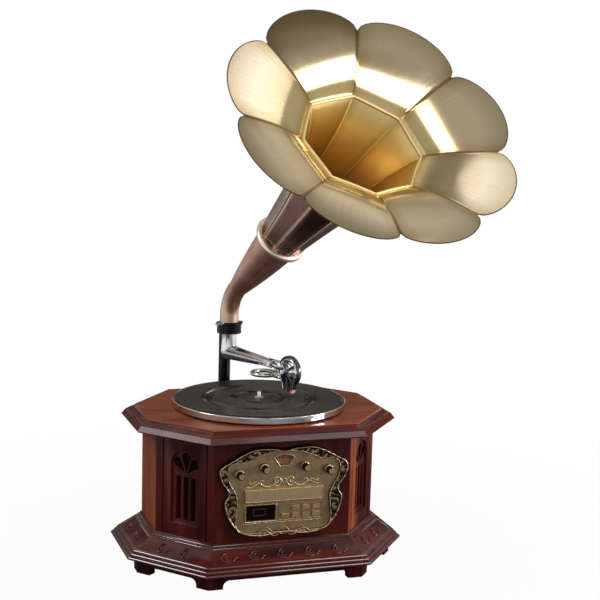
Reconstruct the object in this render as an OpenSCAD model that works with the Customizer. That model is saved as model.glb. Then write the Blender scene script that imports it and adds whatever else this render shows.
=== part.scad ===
// Table gramophone: an eight sided wooden cabinet with a record player on top, a radio and disc
// drawer behind a bronze fascia, a tapered tone arm and a swivelling petal horn.
// X runs to the right, Y to the back and Z up, from the middle of the plane that the feet stand on.

/* [Cabinet] */
// Width of the body between its side faces
body_w = 388; // [370:1:410]
// Depth of the body between its front and back faces
body_d = 292; // [286:1:310]
// Distance from the middle to each slanted corner face
corner_reach = 184; // [179:0.5:187]
// Turn of the slanted corner faces away from the front, in degrees
corner_turn = 50.3; // [48:0.1:53]
// Thickness of the eight panels
panel_t = 14; // [11:0.5:16]
// Height of the eight panels
panel_h = 173; // [169:1:189]
// Thickness of the base board
base_t = 12; // [8:0.5:16]

/* [Top board] */
// Thickness of the top board
top_t = 20; // [18:0.5:26]
// Overhang of the top surface past the body
top_overhang = 13; // [10:0.5:16]
// Overhang of the lip under it past the body
lip_overhang = 35; // [30:0.5:38]
// Height of the lip
lip_h = 11; // [9:0.5:13]

/* [Plinth and feet] */
// Height of the feet
foot_h = 26; // [20:1:32]
// Overhang of the feet past the body
foot_overhang = 33; // [28:1:38]
// Length of each arm of a foot along the plinth
foot_len = 36; // [31:1:42]
// Thickness of a foot
foot_t = 17; // [14:1:20]
// Radius of the cove that shapes the end of a foot
foot_cove = 11; // [9:1:13]
// Height of the toe under that cove
foot_toe = 3.5; // [2:0.5:5]
// Height of the plinth moulding
plinth_h = 42; // [40:1:48]
// Overhang of the plinth moulding past the body
plinth_overhang = 51; // [46:1:56]
// Height of each of the three beads round the plinth's foot
bead_h = 5.2; // [4.6:0.2:5.8]
// Wall of the plinth behind the panels
plinth_wall = 18; // [17:0.5:24]

/* [Speaker grilles] */
// Height of the arch's sill over the foot of the panels
arch_rise = 21; // [18:1:24]
// Width of the arched recess
arch_w = 57; // [52:1:62]
// Height of the arched recess
arch_h = 126; // [115:1:132]
// Depth of the arched recess
arch_depth = 4; // [2:0.5:6]
// Width of each of the three upright slots
slot_w = 9; // [7:0.5:10]
// Distance between the slots
slot_pitch = 15; // [13:0.5:17]
// Height of the slots
slot_h = 74; // [66:1:78]
// Outer radius of the fan of openings over the slots
fan_r = 38; // [33:1:40]
// Diameter of a loudspeaker frame
speaker_d = 100; // [90:1:104]
// Depth of a loudspeaker
speaker_depth = 46; // [38:1:50]
// Thickness of the grille cloth
cloth_t = 0.8; // [0.5:0.1:1.5]

/* [Fascia] */
// Width of the bronze escutcheon
fascia_w = 224; // [218:1:228]
// Height of the bronze escutcheon
fascia_h = 150; // [146:1:154]
// Thickness of the escutcheon plate
fascia_t = 5; // [4:0.5:7]
// Height of the raised rim on the plate
rim_h = 3; // [2:0.5:5]
// Drop of the escutcheon's middle below the middle of the panels
fascia_drop = 4.5; // [3:0.5:6]
// Height of the disc drawer's bar over the escutcheon's middle
drawer_rise = -4; // [-5:0.5:-3]
// Height of the button and display field's middle over the escutcheon's middle
field_rise = -34.5; // [-35:0.5:-34]
// Height of the dial fan's centre over the escutcheon's middle
dial_rise = 34.5; // [34:0.5:36]
// Outer radius of the dial fan
dial_r = 28; // [26:0.5:29]
// Inner radius of the dial fan
dial_inner_r = 11; // [9:0.5:13]
// Half angle of the dial fan, in degrees
dial_half_angle = 36; // [30:1:40]
// Width of the display window
display_w = 50; // [44:1:52]
// Height of the display window
display_h = 26; // [22:1:28]
// Height of a glass pane's edge held behind its opening
glass_lap = 3; // [2:0.5:3.5]
// Thickness of the glass panes
glass_t = 1.5; // [1:0.25:2]

/* [Knobs and buttons] */
// Diameter of the knobs
knob_d = 16; // [13:0.5:18]
// Length of the knobs
knob_len = 17; // [12:0.5:22]
// Distance of the inner knobs from the middle line
knob_x_inner = 35; // [34:0.5:38]
// Height of the inner knobs over the escutcheon's middle
knob_rise_inner = 42; // [40:0.5:44]
// Distance of the outer knobs from the middle line
knob_x_outer = 77.5; // [74:0.5:82]
// Height of the outer knobs over the escutcheon's middle
knob_rise_outer = 34; // [32:0.5:37]
// Diameter of the control shafts
shaft_d = 6; // [5:0.25:6.5]
// Width of a button
button_w = 13; // [11:0.5:14]
// Height of a button
button_h = 8; // [6:0.5:9]
// Distance between the button columns
button_pitch_x = 18; // [16:0.5:18.5]
// Distance between the button rows
button_pitch_z = 13; // [11:0.5:14]
// Travel of a button
button_travel = 1.5; // [1:0.1:2]

/* [Disc drawer] */
// Width of the drawer's front bar
bar_w = 136; // [134:0.5:138]
// Height of the drawer's front bar
bar_h = 22; // [21:0.5:23]
// Thickness of the drawer's front bar
bar_t = 5; // [4:0.5:7]
// Width of the tray
tray_w = 128; // [127:0.5:130]
// Length of the tray
tray_len = 140; // [134:1:150]
// Thickness of the tray
tray_t = 8; // [6:0.5:9]
// Diameter of the disc's well in the tray
disc_d = 122; // [121:0.5:123]
// Depth of the disc's well
disc_depth = 3; // [2:0.5:4]
// Room around the tray in its housing
tray_clear = 0.4; // [0.3:0.05:0.8]
// Wall of the drawer housing
housing_wall = 5; // [4:0.5:6]

/* [Turntable] */
// Diameter of the platter
platter_d = 300; // [290:1:304]
// Height of the platter's rim
platter_rim_h = 11; // [10:0.5:13]
// Thickness of the platter's deck
deck_t = 2.5; // [2:0.25:3.5]
// Gap under the platter's rim
platter_gap = 2.5; // [2:0.25:4]
// Thickness of the mat
mat_t = 3; // [2:0.25:4]
// Diameter of the record pin on the spindle
pin_d = 7.2; // [7:0.05:7.3]
// Height of the record pin over the mat
pin_h = 11; // [9:0.5:14]
// Height of the rounded top of the record pin
pin_dome_h = 2; // [1:0.25:3]
// Diameter of the spindle shaft
spindle_d = 8; // [7.5:0.25:10]
// Length of the spindle shaft under the top board
spindle_drop = 46; // [38:1:60]
// Diameter of the belt ring under the platter
belt_ring_d = 200; // [180:1:220]
// Diameter of the motor pulley
pulley_d = 12; // [10:0.5:16]
// Distance of the motor from the spindle
motor_reach = 116; // [114:1:126]
// Direction of the motor from the spindle, in degrees from the right
motor_angle = 150; // [140:1:165]
// Thickness of the drive belt
belt_t = 1; // [0.8:0.1:1.4]
// Height of the drive belt
belt_h = 4.5; // [3.5:0.25:5]
// Diameter of the motor
motor_d = 46; // [38:1:52]
// Height of the motor
motor_h = 38; // [30:1:46]

/* [Back bracket] */
// Place of the bracket and collar along the width
bracket_x = -8; // [-12:0.5:0]
// Distance of the collar's axis behind the back panel
collar_back = 24; // [22:0.5:34]
// Distance of the post behind the collar's axis
post_back = 28; // [27.5:0.5:32]
// Diameter of the post
post_d = 22; // [18:0.5:23]
// Height of the collar's lower face over the top board
collar_rise = 99; // [94:1:112]
// Height of the collar
collar_h = 16; // [15:0.5:20]
// Diameter of the collar
collar_d = 45; // [43:0.5:50]
// Width of the bracket's foot plate
plate_w = 70; // [60:1:80]
// Height of the bracket's foot plate
plate_h = 62; // [56:1:66]
// Thickness of the bracket's foot plate
plate_t = 8; // [6:0.5:10]

/* [Tone arm] */
// Direction of the tone arm, in degrees to the right of the front
arm_heading = 20.8; // [18:0.1:30]
// Diameter of the upright tube of the arm
stem_d = 29.5; // [28:0.5:30]
// Diameter of the arm's thin end
arm_end_d = 15; // [13:0.5:17]
// Length of the tapered tube from the collar's axis
arm_len = 118; // [112:1:122]
// Height of the arm's axis under the collar
arm_drop = 36; // [34:0.5:39]
// Wall of the arm's tubes
arm_wall = 2; // [1.5:0.25:3]
// Distance of the lifting pivot past the end of the tapered tube
pivot_out = 12; // [10:0.5:14]
// Diameter of the lifting pivot's pin
pivot_d = 4; // [3:0.25:5]
// Distance of the soundbox's middle past the lifting pivot
head_len = 50; // [46:1:56]
// Drop of the soundbox's middle below the arm's axis
head_drop = 5; // [4:0.5:7]
// Diameter of the soundbox
soundbox_d = 55; // [50:1:58]
// Thickness of the soundbox
soundbox_t = 10; // [9:0.5:14]
// Diameter of the gooseneck
gooseneck_d = 11; // [10:0.5:12]
// Diameter of the finger ring, at the middle of its rod
finger_ring_d = 44; // [40:1:46]
// Diameter of the finger ring's rod
finger_rod_d = 7; // [5:0.25:7.5]
// Gap between the stylus and the mat
stylus_gap = 0.8; // [0.5:0.1:2]

/* [Horn] */
// Direction of the horn, in degrees to the right of the front
horn_heading = 20.7; // [15:0.1:30]
// Diameter of the neck's upright tube
neck_d = 34.5; // [33:0.5:36]
// Length of the neck's upright tube over the collar
neck_rise = 14; // [10:1:24]
// Radius of the neck's bend
neck_bend_r = 70; // [60:1:85]
// Angle of the neck's bend, in degrees
neck_bend = 50; // [44:1:56]
// Length of the neck's cone
neck_cone_len = 157; // [145:1:170]
// Diameter of the neck's cone at the ring
neck_cone_d = 79; // [72:1:84]
// Swell of the neck's cone at the middle of its length
cone_swell = 2; // [0:0.25:4]
// Sheet thickness of the neck
neck_wall = 1.5; // [1.2:0.1:2]
// Width of the ring between neck and bell
ring_w = 12; // [10:0.5:15]
// Thickness of the ring
ring_t = 6; // [5:0.5:9]
// Reach of the mouth's centre from the collar's axis
mouth_reach = 374.7; // [355:0.1:395]
// Height of the mouth's centre over the collar
mouth_rise = 378; // [360:1:400]
// Upward tilt of the mouth, in degrees
mouth_tilt = 44; // [38:0.5:50]
// Turn of the mouth towards the front, in degrees
mouth_turn = 13.8; // [0:0.1:20]
// Radius of the mouth at the notches between the petals
notch_r = 218; // [200:1:235]
// Radius of the mouth at the petal tips
tip_r = 249; // [230:1:265]
// Distance that the petal tips stand in front of the notches
tip_forward = 12; // [4:0.5:20]
// Radius at which the petals start to spread
flare_r = 107; // [98:1:116]
// Distance of that place behind the mouth
flare_depth = 46; // [38:1:54]
// Turn of the petals about the horn's axis, in degrees
petal_phase = 35.5; // [20:0.5:44]
// Widening of the upper petals against the lower ones, in degrees
petal_spread = 5.5; // [0:0.5:7]
// Sheet thickness of the bell
bell_wall = 1; // [0.8:0.1:1.6]

/* [Hidden] */
$fn = 64;

// Named clearances
running = 0.04;
fit_gap = 0.3;
hole_gap = 0.1;
seat_gap = 0.2;
through = 1;

// Levels of the cabinet, from the feet up
plinth_z = foot_h;
wall_z = plinth_z + plinth_h;
lip_z = wall_z + panel_h;
top_z = lip_z + top_t;
front_y = -body_d / 2;
back_y = body_d / 2;
inner_front_y = front_y + panel_t;
collar_y = back_y + collar_back;
base_z = plinth_z + 4;
base_top_z = base_z + base_t;

// Colours
mahogany = [0.30, 0.10, 0.06];
mahogany_top = [0.48, 0.20, 0.10];
bronze = [0.42, 0.35, 0.24];
chrome = [0.80, 0.80, 0.82];
black_enamel = [0.05, 0.05, 0.06];
brass = [0.76, 0.64, 0.40];
copper = [0.42, 0.25, 0.20];

// Corners of the body's plan, moved outwards by o: front left, round by the left and back to front right
function octagon(o) =
    let (a = body_w / 2 + o, b = body_d / 2 + o, d = corner_reach + o)
    let (kx = (d - b * cos(corner_turn)) / sin(corner_turn))
    let (ky = (d - a * sin(corner_turn)) / cos(corner_turn))
    [[-kx, -b], [-a, -ky], [-a, ky], [-kx, b], [kx, b], [a, ky], [a, -ky], [kx, -b]];

function unit(v) = v / norm(v);

// Point of a cubic curve through four control points, and its direction there
function bezier(p, t) =
    p[0] * pow(1 - t, 3) + p[1] * 3 * t * pow(1 - t, 2) + p[2] * 3 * t * t * (1 - t) + p[3] * pow(t, 3);
function bezier_way(p, t) =
    unit((p[1] - p[0]) * pow(1 - t, 2) + (p[2] - p[1]) * 2 * t * (1 - t) + (p[3] - p[2]) * t * t);

// Closed smooth curve through points, each stretch cut into n steps
function blend4(a, b, c, d, t) =
    0.5 * (2 * b + (c - a) * t + (2 * a - 5 * b + 4 * c - d) * t * t + (3 * b - a - 3 * c + d) * pow(t, 3));
function smooth_loop(p, n) =
    let (c = len(p))
    [for (i = [0 : c - 1]) for (k = [0 : n - 1])
        blend4(p[(i + c - 1) % c], p[i], p[(i + 1) % c], p[(i + 2) % c], k / n)];
function both_halves(half) =
    concat(half, [for (i = [len(half) - 2 : -1 : 1]) [-half[i][0], half[i][1]]]);

// Solid whose plan is the octagon, from a profile of [overhang, height] pairs listed upwards
module octagon_solid(profile) {
    n = len(profile);
    points = [for (p = profile) for (c = octagon(p[0])) [c[0], c[1], p[1]]];
    sides = [for (i = [0 : n - 2]) for (k = [0 : 7])
        [8 * i + k, 8 * i + (k + 1) % 8, 8 * i + 8 + (k + 1) % 8, 8 * i + 8 + k]];
    bottom = [for (k = [7 : -1 : 0]) k];
    top = [for (k = [0 : 7]) 8 * (n - 1) + k];
    polyhedron(points, concat(sides, [bottom, top]));
}

// Straight octagonal prism
module octagon_prism(o, z0, z1) {
    translate([0, 0, z0])
        linear_extrude(z1 - z0)
            polygon(octagon(o));
}

// One mitred panel of the body, on side k of the octagon
module wall_panel(k) {
    outer = octagon(0);
    inner = octagon(-panel_t);
    translate([0, 0, wall_z])
        linear_extrude(panel_h)
            polygon([outer[k], outer[(k + 1) % 8], inner[(k + 1) % 8], inner[k]]);
}

// Places a shape on a slanted front corner: side -1 left, 1 right; y 0 is the outer face
module at_corner(side) {
    c = octagon(0);
    mid = (c[6] + c[7]) / 2;
    translate([side * mid[0], mid[1], 0])
        rotate([0, 0, side * corner_turn])
            children();
}

// Extrudes a drawing of the front towards the viewer: from depth y, thickness t
module on_front(y, t) {
    translate([0, y, 0])
        rotate([90, 0, 0])
            linear_extrude(t)
                children();
}

// Round bar along Y, from y0 to y1
module bar_y(r, y0, y1) {
    translate([0, y0, 0])
        rotate([-90, 0, 0])
            cylinder(r = r, h = y1 - y0);
}

// Cabinet woodwork
cove_steps = 6;
cove_top_z = top_z - 3;
cove_foot_z = lip_z + lip_h + 2;
lip_top_overhang = lip_overhang - 7;
bead_overhang = lip_top_overhang - 3;
top_profile = concat(
    [[lip_overhang - 2, lip_z], [lip_overhang, lip_z + 2], [lip_top_overhang, lip_z + lip_h],
     [bead_overhang, lip_z + lip_h], [bead_overhang, cove_foot_z]],
    [for (i = [1 : cove_steps]) let (a = 90 * i / cove_steps)
        [bead_overhang - (bead_overhang - top_overhang) * sin(a),
         cove_foot_z + (cove_top_z - cove_foot_z) * (1 - cos(a))]],
    [[top_overhang, top_z - 1], [top_overhang - 1, top_z]]);

motor_x = motor_reach * cos(motor_angle);
motor_y = motor_reach * sin(motor_angle);
bush_d = spindle_d + 8;
motor_hole_d = pulley_d + 6;

module top_board() {
    color(mahogany_top)
        difference() {
            octagon_solid(top_profile);
            translate([0, 0, lip_z - through])
                cylinder(d = bush_d + 2 * hole_gap, h = top_t + 2 * through);
            translate([motor_x, motor_y, lip_z - through])
                cylinder(d = motor_hole_d, h = top_t + 2 * through);
        }
}

// Plinth: reeded beads at the foot, a sloping frieze, and two fillets under the panels
bead_step = 5;
frieze_inset = 17;
frieze_run = 22;
fillet_h = 10;
fillet_step = 4;
frieze_foot = plinth_overhang - frieze_inset;
frieze_top = frieze_foot - frieze_run;
frieze_foot_z = plinth_z + 3 * bead_h;
frieze_top_z = wall_z - fillet_h;
function bead(o, z, h) =
    [[o - 1.5, z], [o, z + 0.3 * h], [o, z + 0.65 * h], [o - 1.5, z + 0.95 * h], [o - 3.5, z + 0.95 * h]];
plinth_profile = concat(
    bead(plinth_overhang, plinth_z, bead_h),
    bead(plinth_overhang - bead_step, plinth_z + bead_h, bead_h),
    bead(plinth_overhang - 2 * bead_step, plinth_z + 2 * bead_h, bead_h),
    [[frieze_foot, frieze_foot_z], [frieze_top, frieze_top_z], [frieze_top, frieze_top_z + 1.5],
     [frieze_top - fillet_step, frieze_top_z + 2.5], [frieze_top - fillet_step, frieze_top_z + 5],
     [frieze_top - 2 * fillet_step, frieze_top_z + 6], [frieze_top - 2 * fillet_step, wall_z - 1.5],
     [frieze_top - 2.5 * fillet_step, wall_z]]);

module plinth_moulding() {
    color(mahogany)
        difference() {
            octagon_solid(plinth_profile);
            octagon_prism(-plinth_wall, plinth_z - through, wall_z + through);
        }
}

module base_board() {
    color(mahogany)
        octagon_prism(-plinth_wall, base_z, base_top_z);
}

// Feet: two arms that follow the octagon from its corner k, coved at their ends
apron_z = foot_toe + foot_cove;

module foot(k) {
    outer = octagon(foot_overhang);
    inner = octagon(foot_overhang - foot_t);
    c = outer[k];
    to_next = unit(outer[(k + 1) % 8] - c);
    to_last = unit(outer[(k + 7) % 8] - c);
    in_next = [to_next[1], -to_next[0]];
    in_last = [-to_last[1], to_last[0]];
    ends = [[c + foot_len * to_next, in_next], [c + foot_len * to_last, in_last]];
    difference() {
        linear_extrude(foot_h)
            polygon([c, ends[0][0], ends[0][0] + foot_t * in_next, inner[k],
                     ends[1][0] + foot_t * in_last, ends[1][0]]);
        for (e = ends)
            translate([e[0][0], e[0][1], foot_toe])
                rotate([0, 0, atan2(e[1][1], e[1][0])])
                    rotate([0, 90, 0])
                        cylinder(r = foot_cove, h = 4 * foot_t, center = true);
    }
}

// Apron rail under the plinth between two feet
module apron_rail(k) {
    outer = octagon(foot_overhang);
    way = unit(outer[(k + 1) % 8] - outer[k]);
    inward = [way[1], -way[0]];
    a = outer[k] + (foot_len + seat_gap) * way;
    b = outer[(k + 1) % 8] - (foot_len + seat_gap) * way;
    translate([0, 0, apron_z])
        linear_extrude(foot_h - apron_z)
            polygon([a, b, b + foot_t * inward, a + foot_t * inward]);
}

module bracket_feet() {
    color(mahogany)
        for (k = [0 : 7]) {
            foot(k);
            apron_rail(k);
        }
}

// Front panel: openings behind the escutcheon
fascia_z = wall_z + panel_h / 2 - fascia_drop;
drawer_z = fascia_z + drawer_rise;
field_z = fascia_z + field_rise;
dial_z = fascia_z + dial_rise;
dial_open_w = 2 * (dial_r * sin(dial_half_angle) + 8);
dial_open_z0 = dial_z - 6;
dial_open_z1 = dial_z + dial_r + 6;
field_half_w = bar_w / 2 + 4;
field_open_z0 = field_z - display_h / 2 - glass_lap - 3;
field_open_z1 = drawer_z + bar_h / 2 + 3;
knob_places = [[-knob_x_outer, fascia_z + knob_rise_outer], [-knob_x_inner, fascia_z + knob_rise_inner],
               [knob_x_inner, fascia_z + knob_rise_inner], [knob_x_outer, fascia_z + knob_rise_outer]];
pot_bush_d = shaft_d + 4;
pot_hole_d = pot_bush_d + 2 * hole_gap;

module front_panel() {
    color(mahogany)
        difference() {
            wall_panel(7);
            translate([-field_half_w, front_y - through, field_open_z0])
                cube([2 * field_half_w, panel_t + 2 * through, field_open_z1 - field_open_z0]);
            translate([-dial_open_w / 2, front_y - through, dial_open_z0])
                cube([dial_open_w, panel_t + 2 * through, dial_open_z1 - dial_open_z0]);
            for (p = knob_places)
                translate([p[0], 0, p[1]])
                    bar_y(pot_hole_d / 2, front_y - through, inner_front_y + through);
        }
}

// Drawing of the fretwork: three upright slots under a fan of three rays
arch_z = wall_z + arch_rise;
arch_r = arch_w / 2;
slot_z = arch_z + 6;
fan_z = slot_z + slot_h - 2;
fan_gap = 6;

module slot_drawing() {
    for (i = [-1 : 1])
        translate([i * slot_pitch - slot_w / 2, slot_z])
            square([slot_w, slot_h]);
}

module fan_drawing() {
    for (i = [-1 : 1])
        translate([0, fan_z + fan_gap])
            rotate(-42 * i)
                polygon(concat([[0, 4]],
                    [for (a = [-18 : 4 : 18]) let (r = (fan_r - 3 * abs(i)) * cos(2 * a))
                        [r * sin(a), r * cos(a)]]));
}

module arch_drawing() {
    translate([-arch_r, arch_z])
        square([arch_w, arch_h - arch_r]);
    translate([0, arch_z + arch_h - arch_r])
        circle(r = arch_r);
}

// Panel of a slanted front corner, with an arched recess, fretwork and a groove beside each stile
stile_w = 15;
groove_w = 2.5;
groove_depth = 3;

module grille_panel(side) {
    c = octagon(0);
    half = norm(c[6] - c[7]) / 2;
    difference() {
        wall_panel(side < 0 ? 0 : 6);
        at_corner(side) {
            on_front(arch_depth, arch_depth + through)
                arch_drawing();
            on_front(panel_t + through, panel_t + 2 * through) {
                slot_drawing();
                fan_drawing();
            }
            for (s = [-1, 1])
                translate([s * (half - stile_w) - groove_w / 2, -through, wall_z - through])
                    cube([groove_w, groove_depth + through, panel_h + 2 * through]);
        }
    }
}

module left_grille_panel() {
    color(mahogany)
        grille_panel(-1);
}

module right_grille_panel() {
    color(mahogany)
        grille_panel(1);
}

module left_side_panel() {
    color(mahogany)
        wall_panel(1);
}

module right_side_panel() {
    color(mahogany)
        wall_panel(5);
}

module rear_left_panel() {
    color(mahogany)
        wall_panel(2);
}

module rear_right_panel() {
    color(mahogany)
        wall_panel(4);
}

// Back panel: holes for the bracket's bolts, the mains inlet and the audio sockets
plate_top_z = lip_z - 4;
plate_z = plate_top_z - plate_h;
bolt_d = 5;
bolt_inset = 10;
bolt_places = [for (s = [-1, 1]) for (z = [plate_z + bolt_inset, plate_top_z - bolt_inset])
    [bracket_x + s * (plate_w / 2 - bolt_inset), z]];
inlet_w = 27;
inlet_h = 20;
outlet_inset = 38;
sockets_x = octagon(0)[4][0] - outlet_inset;
inlet_x = -sockets_x;
socket_rise = 36;
socket_row_z = wall_z + socket_rise;
socket_d = 9;
socket_pitch = 15;
socket_xs = [for (i = [-1.5 : 1 : 1.5]) sockets_x + i * socket_pitch];
outlet_t = 2;

module back_panel() {
    color(mahogany)
        difference() {
            wall_panel(3);
            for (p = bolt_places)
                translate([p[0], 0, p[1]])
                    bar_y(bolt_d / 2 + hole_gap, back_y - panel_t - through, back_y + through);
            translate([inlet_x - inlet_w / 2 - hole_gap, back_y - panel_t - through,
                       socket_row_z - inlet_h / 2 - hole_gap])
                cube([inlet_w + 2 * hole_gap, panel_t + 2 * through, inlet_h + 2 * hole_gap]);
            for (x = socket_xs)
                translate([x, 0, socket_row_z])
                    bar_y(socket_d / 2 + hole_gap, back_y - panel_t - through, back_y + through);
        }
}

module mains_inlet() {
    flange = 5;
    pin_row = 7;
    color(black_enamel)
        difference() {
            union() {
                translate([inlet_x - inlet_w / 2, back_y - panel_t - 6, socket_row_z - inlet_h / 2])
                    cube([inlet_w, panel_t + 6, inlet_h]);
                translate([inlet_x - inlet_w / 2 - flange, back_y, socket_row_z - inlet_h / 2 - flange])
                    cube([inlet_w + 2 * flange, outlet_t, inlet_h + 2 * flange]);
            }
            translate([inlet_x - inlet_w / 2 + 2, back_y - panel_t, socket_row_z - inlet_h / 2 + 2])
                cube([inlet_w - 4, panel_t + outlet_t + through, inlet_h - 4]);
        }
    color(chrome)
        for (s = [-1, 0, 1])
            translate([inlet_x + s * pin_row - 1, back_y - panel_t - through,
                       socket_row_z + (s == 0 ? 1 : -4)])
                cube([2, panel_t, 4]);
}

module audio_sockets() {
    margin = 9;
    color(black_enamel)
        difference() {
            union() {
                translate([socket_xs[0] - margin, back_y, socket_row_z - margin])
                    cube([3 * socket_pitch + 2 * margin, outlet_t, 2 * margin]);
                for (x = socket_xs)
                    translate([x, 0, socket_row_z])
                        bar_y(socket_d / 2, back_y - panel_t - 4, back_y + 9);
            }
            for (x = socket_xs)
                translate([x, 0, socket_row_z])
                    bar_y(socket_d / 2 - 2.5, back_y - panel_t, back_y + 9 + through);
        }
}

// Loudspeakers behind the fretwork, with the cloth between
module grille_cloths() {
    margin = 2;
    color([0.04, 0.03, 0.03])
        for (side = [-1, 1])
            at_corner(side)
                translate([-arch_r - margin, panel_t, arch_z - margin])
                    cube([arch_w + 2 * margin, cloth_t, arch_h + 2 * margin]);
}

module speaker(side) {
    r = speaker_d / 2;
    magnet_r = 0.44 * r;
    at_corner(side)
        translate([0, panel_t + cloth_t, arch_z + arch_h / 2 - 4])
            rotate([-90, 0, 0])
                rotate_extrude()
                    polygon([[r - 8, 0], [r, 0], [r, 3], [r - 3, 3], [magnet_r + 4, speaker_depth - 18],
                             [magnet_r, speaker_depth - 16], [magnet_r, speaker_depth], [0, speaker_depth],
                             [0, speaker_depth - 26], [10, speaker_depth - 26]]);
}

module left_speaker() {
    color(black_enamel)
        speaker(-1);
}

module right_speaker() {
    color(black_enamel)
        speaker(1);
}

// Escutcheon: half outlines from the top round the right side, in half widths and half heights
rim_half = [[0, 0.97], [0.22, 1.01], [0.45, 1.01], [0.64, 0.91], [0.81, 0.77], [0.96, 0.64], [1, 0.49],
            [0.96, 0.29], [0.875, 0.11], [0.866, -0.03], [0.92, -0.19], [0.875, -0.48], [0.76, -0.76],
            [0.59, -0.93], [0.36, -0.98], [0.18, -0.96], [0, -0.93]];
field_half = [[0, 0.92], [0.2, 0.9], [0.38, 0.83], [0.57, 0.71], [0.71, 0.71], [0.82, 0.65], [0.86, 0.47],
              [0.82, 0.25], [0.75, 0.07], [0.705, -0.13], [0.715, -0.37], [0.73, -0.67], [0.64, -0.85],
              [0.36, -0.89], [0, -0.87]];
outline_steps = 4;

module fascia_drawing(half) {
    translate([0, fascia_z])
        polygon([for (p = smooth_loop(both_halves(half), outline_steps))
            [p[0] * fascia_w / 2, p[1] * fascia_h / 2]]);
}

// Fan shaped dial opening, grown by g on every side
module dial_drawing(g) {
    a = dial_half_angle;
    r0 = dial_inner_r - g;
    r1 = dial_r + g;
    spread = g / cos(a);
    translate([0, dial_z])
        polygon(concat(
            [for (i = [-8 : 8]) let (b = a * i / 8) [r1 * sin(b) + spread * i / 8, r1 * cos(b)]],
            [for (i = [8 : -1 : -8]) let (b = a * i / 8) [r0 * sin(b) + spread * i / 8, r0 * cos(b)]]));
}

fascia_front = front_y - fascia_t;
display_inset = 4;
button_inset = 11;
display_x = -bar_w / 2 + display_w / 2 + display_inset;
button_xs = [for (i = [0 : 3]) bar_w / 2 - button_inset - (3 - i) * button_pitch_x];
button_top_z = field_z + button_pitch_z / 2;
button_low_z = field_z - button_pitch_z / 2;
button_places = [[button_xs[1], button_top_z], [button_xs[2], button_top_z], [button_xs[3], button_top_z],
                 [button_xs[0], button_low_z], [button_xs[1], button_low_z], [button_xs[2], button_low_z],
                 [button_xs[3], button_low_z]];
tray_bottom_z = drawer_z - tray_t / 2;

module button_hole(p, g, y, t) {
    translate([p[0] - button_w / 2 - g, y, p[1] - button_h / 2 - g])
        cube([button_w + 2 * g, t, button_h + 2 * g]);
}

module escutcheon() {
    rebate = glass_t + hole_gap;
    color(bronze)
        difference() {
            union() {
                on_front(front_y, fascia_t)
                    fascia_drawing(rim_half);
                on_front(fascia_front, rim_h)
                    difference() {
                        fascia_drawing(rim_half);
                        fascia_drawing(field_half);
                    }
            }
            on_front(front_y + through, fascia_t + rim_h + 2 * through)
                dial_drawing(0);
            on_front(front_y + through, rebate + through)
                dial_drawing(glass_lap);
            translate([display_x - display_w / 2, fascia_front - through, field_z - display_h / 2])
                cube([display_w, fascia_t + 2 * through, display_h]);
            translate([display_x - display_w / 2 - glass_lap, front_y - rebate,
                       field_z - display_h / 2 - glass_lap])
                cube([display_w + 2 * glass_lap, rebate + through, display_h + 2 * glass_lap]);
            translate([-tray_w / 2 - 1, fascia_front - through, tray_bottom_z - 1])
                cube([tray_w + 2, fascia_t + 2 * through, tray_t + 2]);
            for (p = button_places)
                button_hole(p, fit_gap, fascia_front - through, fascia_t + 2 * through);
            for (p = knob_places)
                translate([p[0], 0, p[1]])
                    bar_y(pot_hole_d / 2, fascia_front - through, front_y + through);
        }
}

// Glass panes in the rebates behind the escutcheon
module dial_glass() {
    color([0.75, 0.72, 0.62, 0.4])
        on_front(front_y - hole_gap, glass_t)
            dial_drawing(glass_lap - hole_gap);
}

module display_window() {
    lap = glass_lap - hole_gap;
    color([0.03, 0.02, 0.03])
        translate([display_x - display_w / 2 - lap, front_y - glass_t - hole_gap,
                   field_z - display_h / 2 - lap])
            cube([display_w + 2 * lap, glass_t, display_h + 2 * lap]);
}

// Dial card on four studs, and the pointer that swings on its pin
card_t = 1;
card_y = front_y + 3;
pointer_t = 0.8;
pointer_y = front_y + 1;
dial_pin_r = 1;
card_w = dial_open_w - 2;

module dial_card() {
    stud = 2.5;
    color([0.80, 0.50, 0.28]) {
        translate([-card_w / 2, card_y, dial_open_z0 + 1])
            cube([card_w, card_t, dial_open_z1 - dial_open_z0 - 2]);
        for (x = [-1, 1])
            for (z = [dial_open_z0 + 1 + stud, dial_open_z1 - 1 - stud])
                translate([x * (card_w / 2 - stud), 0, z])
                    bar_y(stud / 2, front_y, card_y);
        translate([0, 0, dial_z])
            bar_y(dial_pin_r, front_y + 0.5, card_y);
    }
}

module dial_pointer() {
    hub_r = 3.2;
    color([0.70, 0.10, 0.08])
        difference() {
            union() {
                translate([0, 0, dial_z])
                    bar_y(hub_r, pointer_y, pointer_y + pointer_t);
                translate([-0.6, pointer_y, dial_z])
                    cube([1.2, pointer_t, dial_r - 3]);
            }
            translate([0, 0, dial_z])
                bar_y(dial_pin_r + running, pointer_y - through, pointer_y + pointer_t + through);
        }
}

// Knobs turn on shafts that run in the control pots behind the panel
module knob(i) {
    p = knob_places[i];
    r = knob_d / 2;
    skirt_y = fascia_front - 1.2;
    cap_y = skirt_y - knob_len;
    color(bronze)
        translate([p[0], 0, p[1]]) {
            rotate([90, 0, 0])
                rotate_extrude()
                    polygon([[0, -skirt_y], [r, -skirt_y], [r, -skirt_y + 3], [r - 1.5, -skirt_y + 4],
                             [r - 1.5, -cap_y - 2], [r - 3, -cap_y], [0, -cap_y]]);
            bar_y(shaft_d / 2, skirt_y, inner_front_y + 6);
        }
}

module knob_volume() knob(0);
module knob_tone() knob(1);
module knob_tuning() knob(2);
module knob_band() knob(3);

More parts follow.
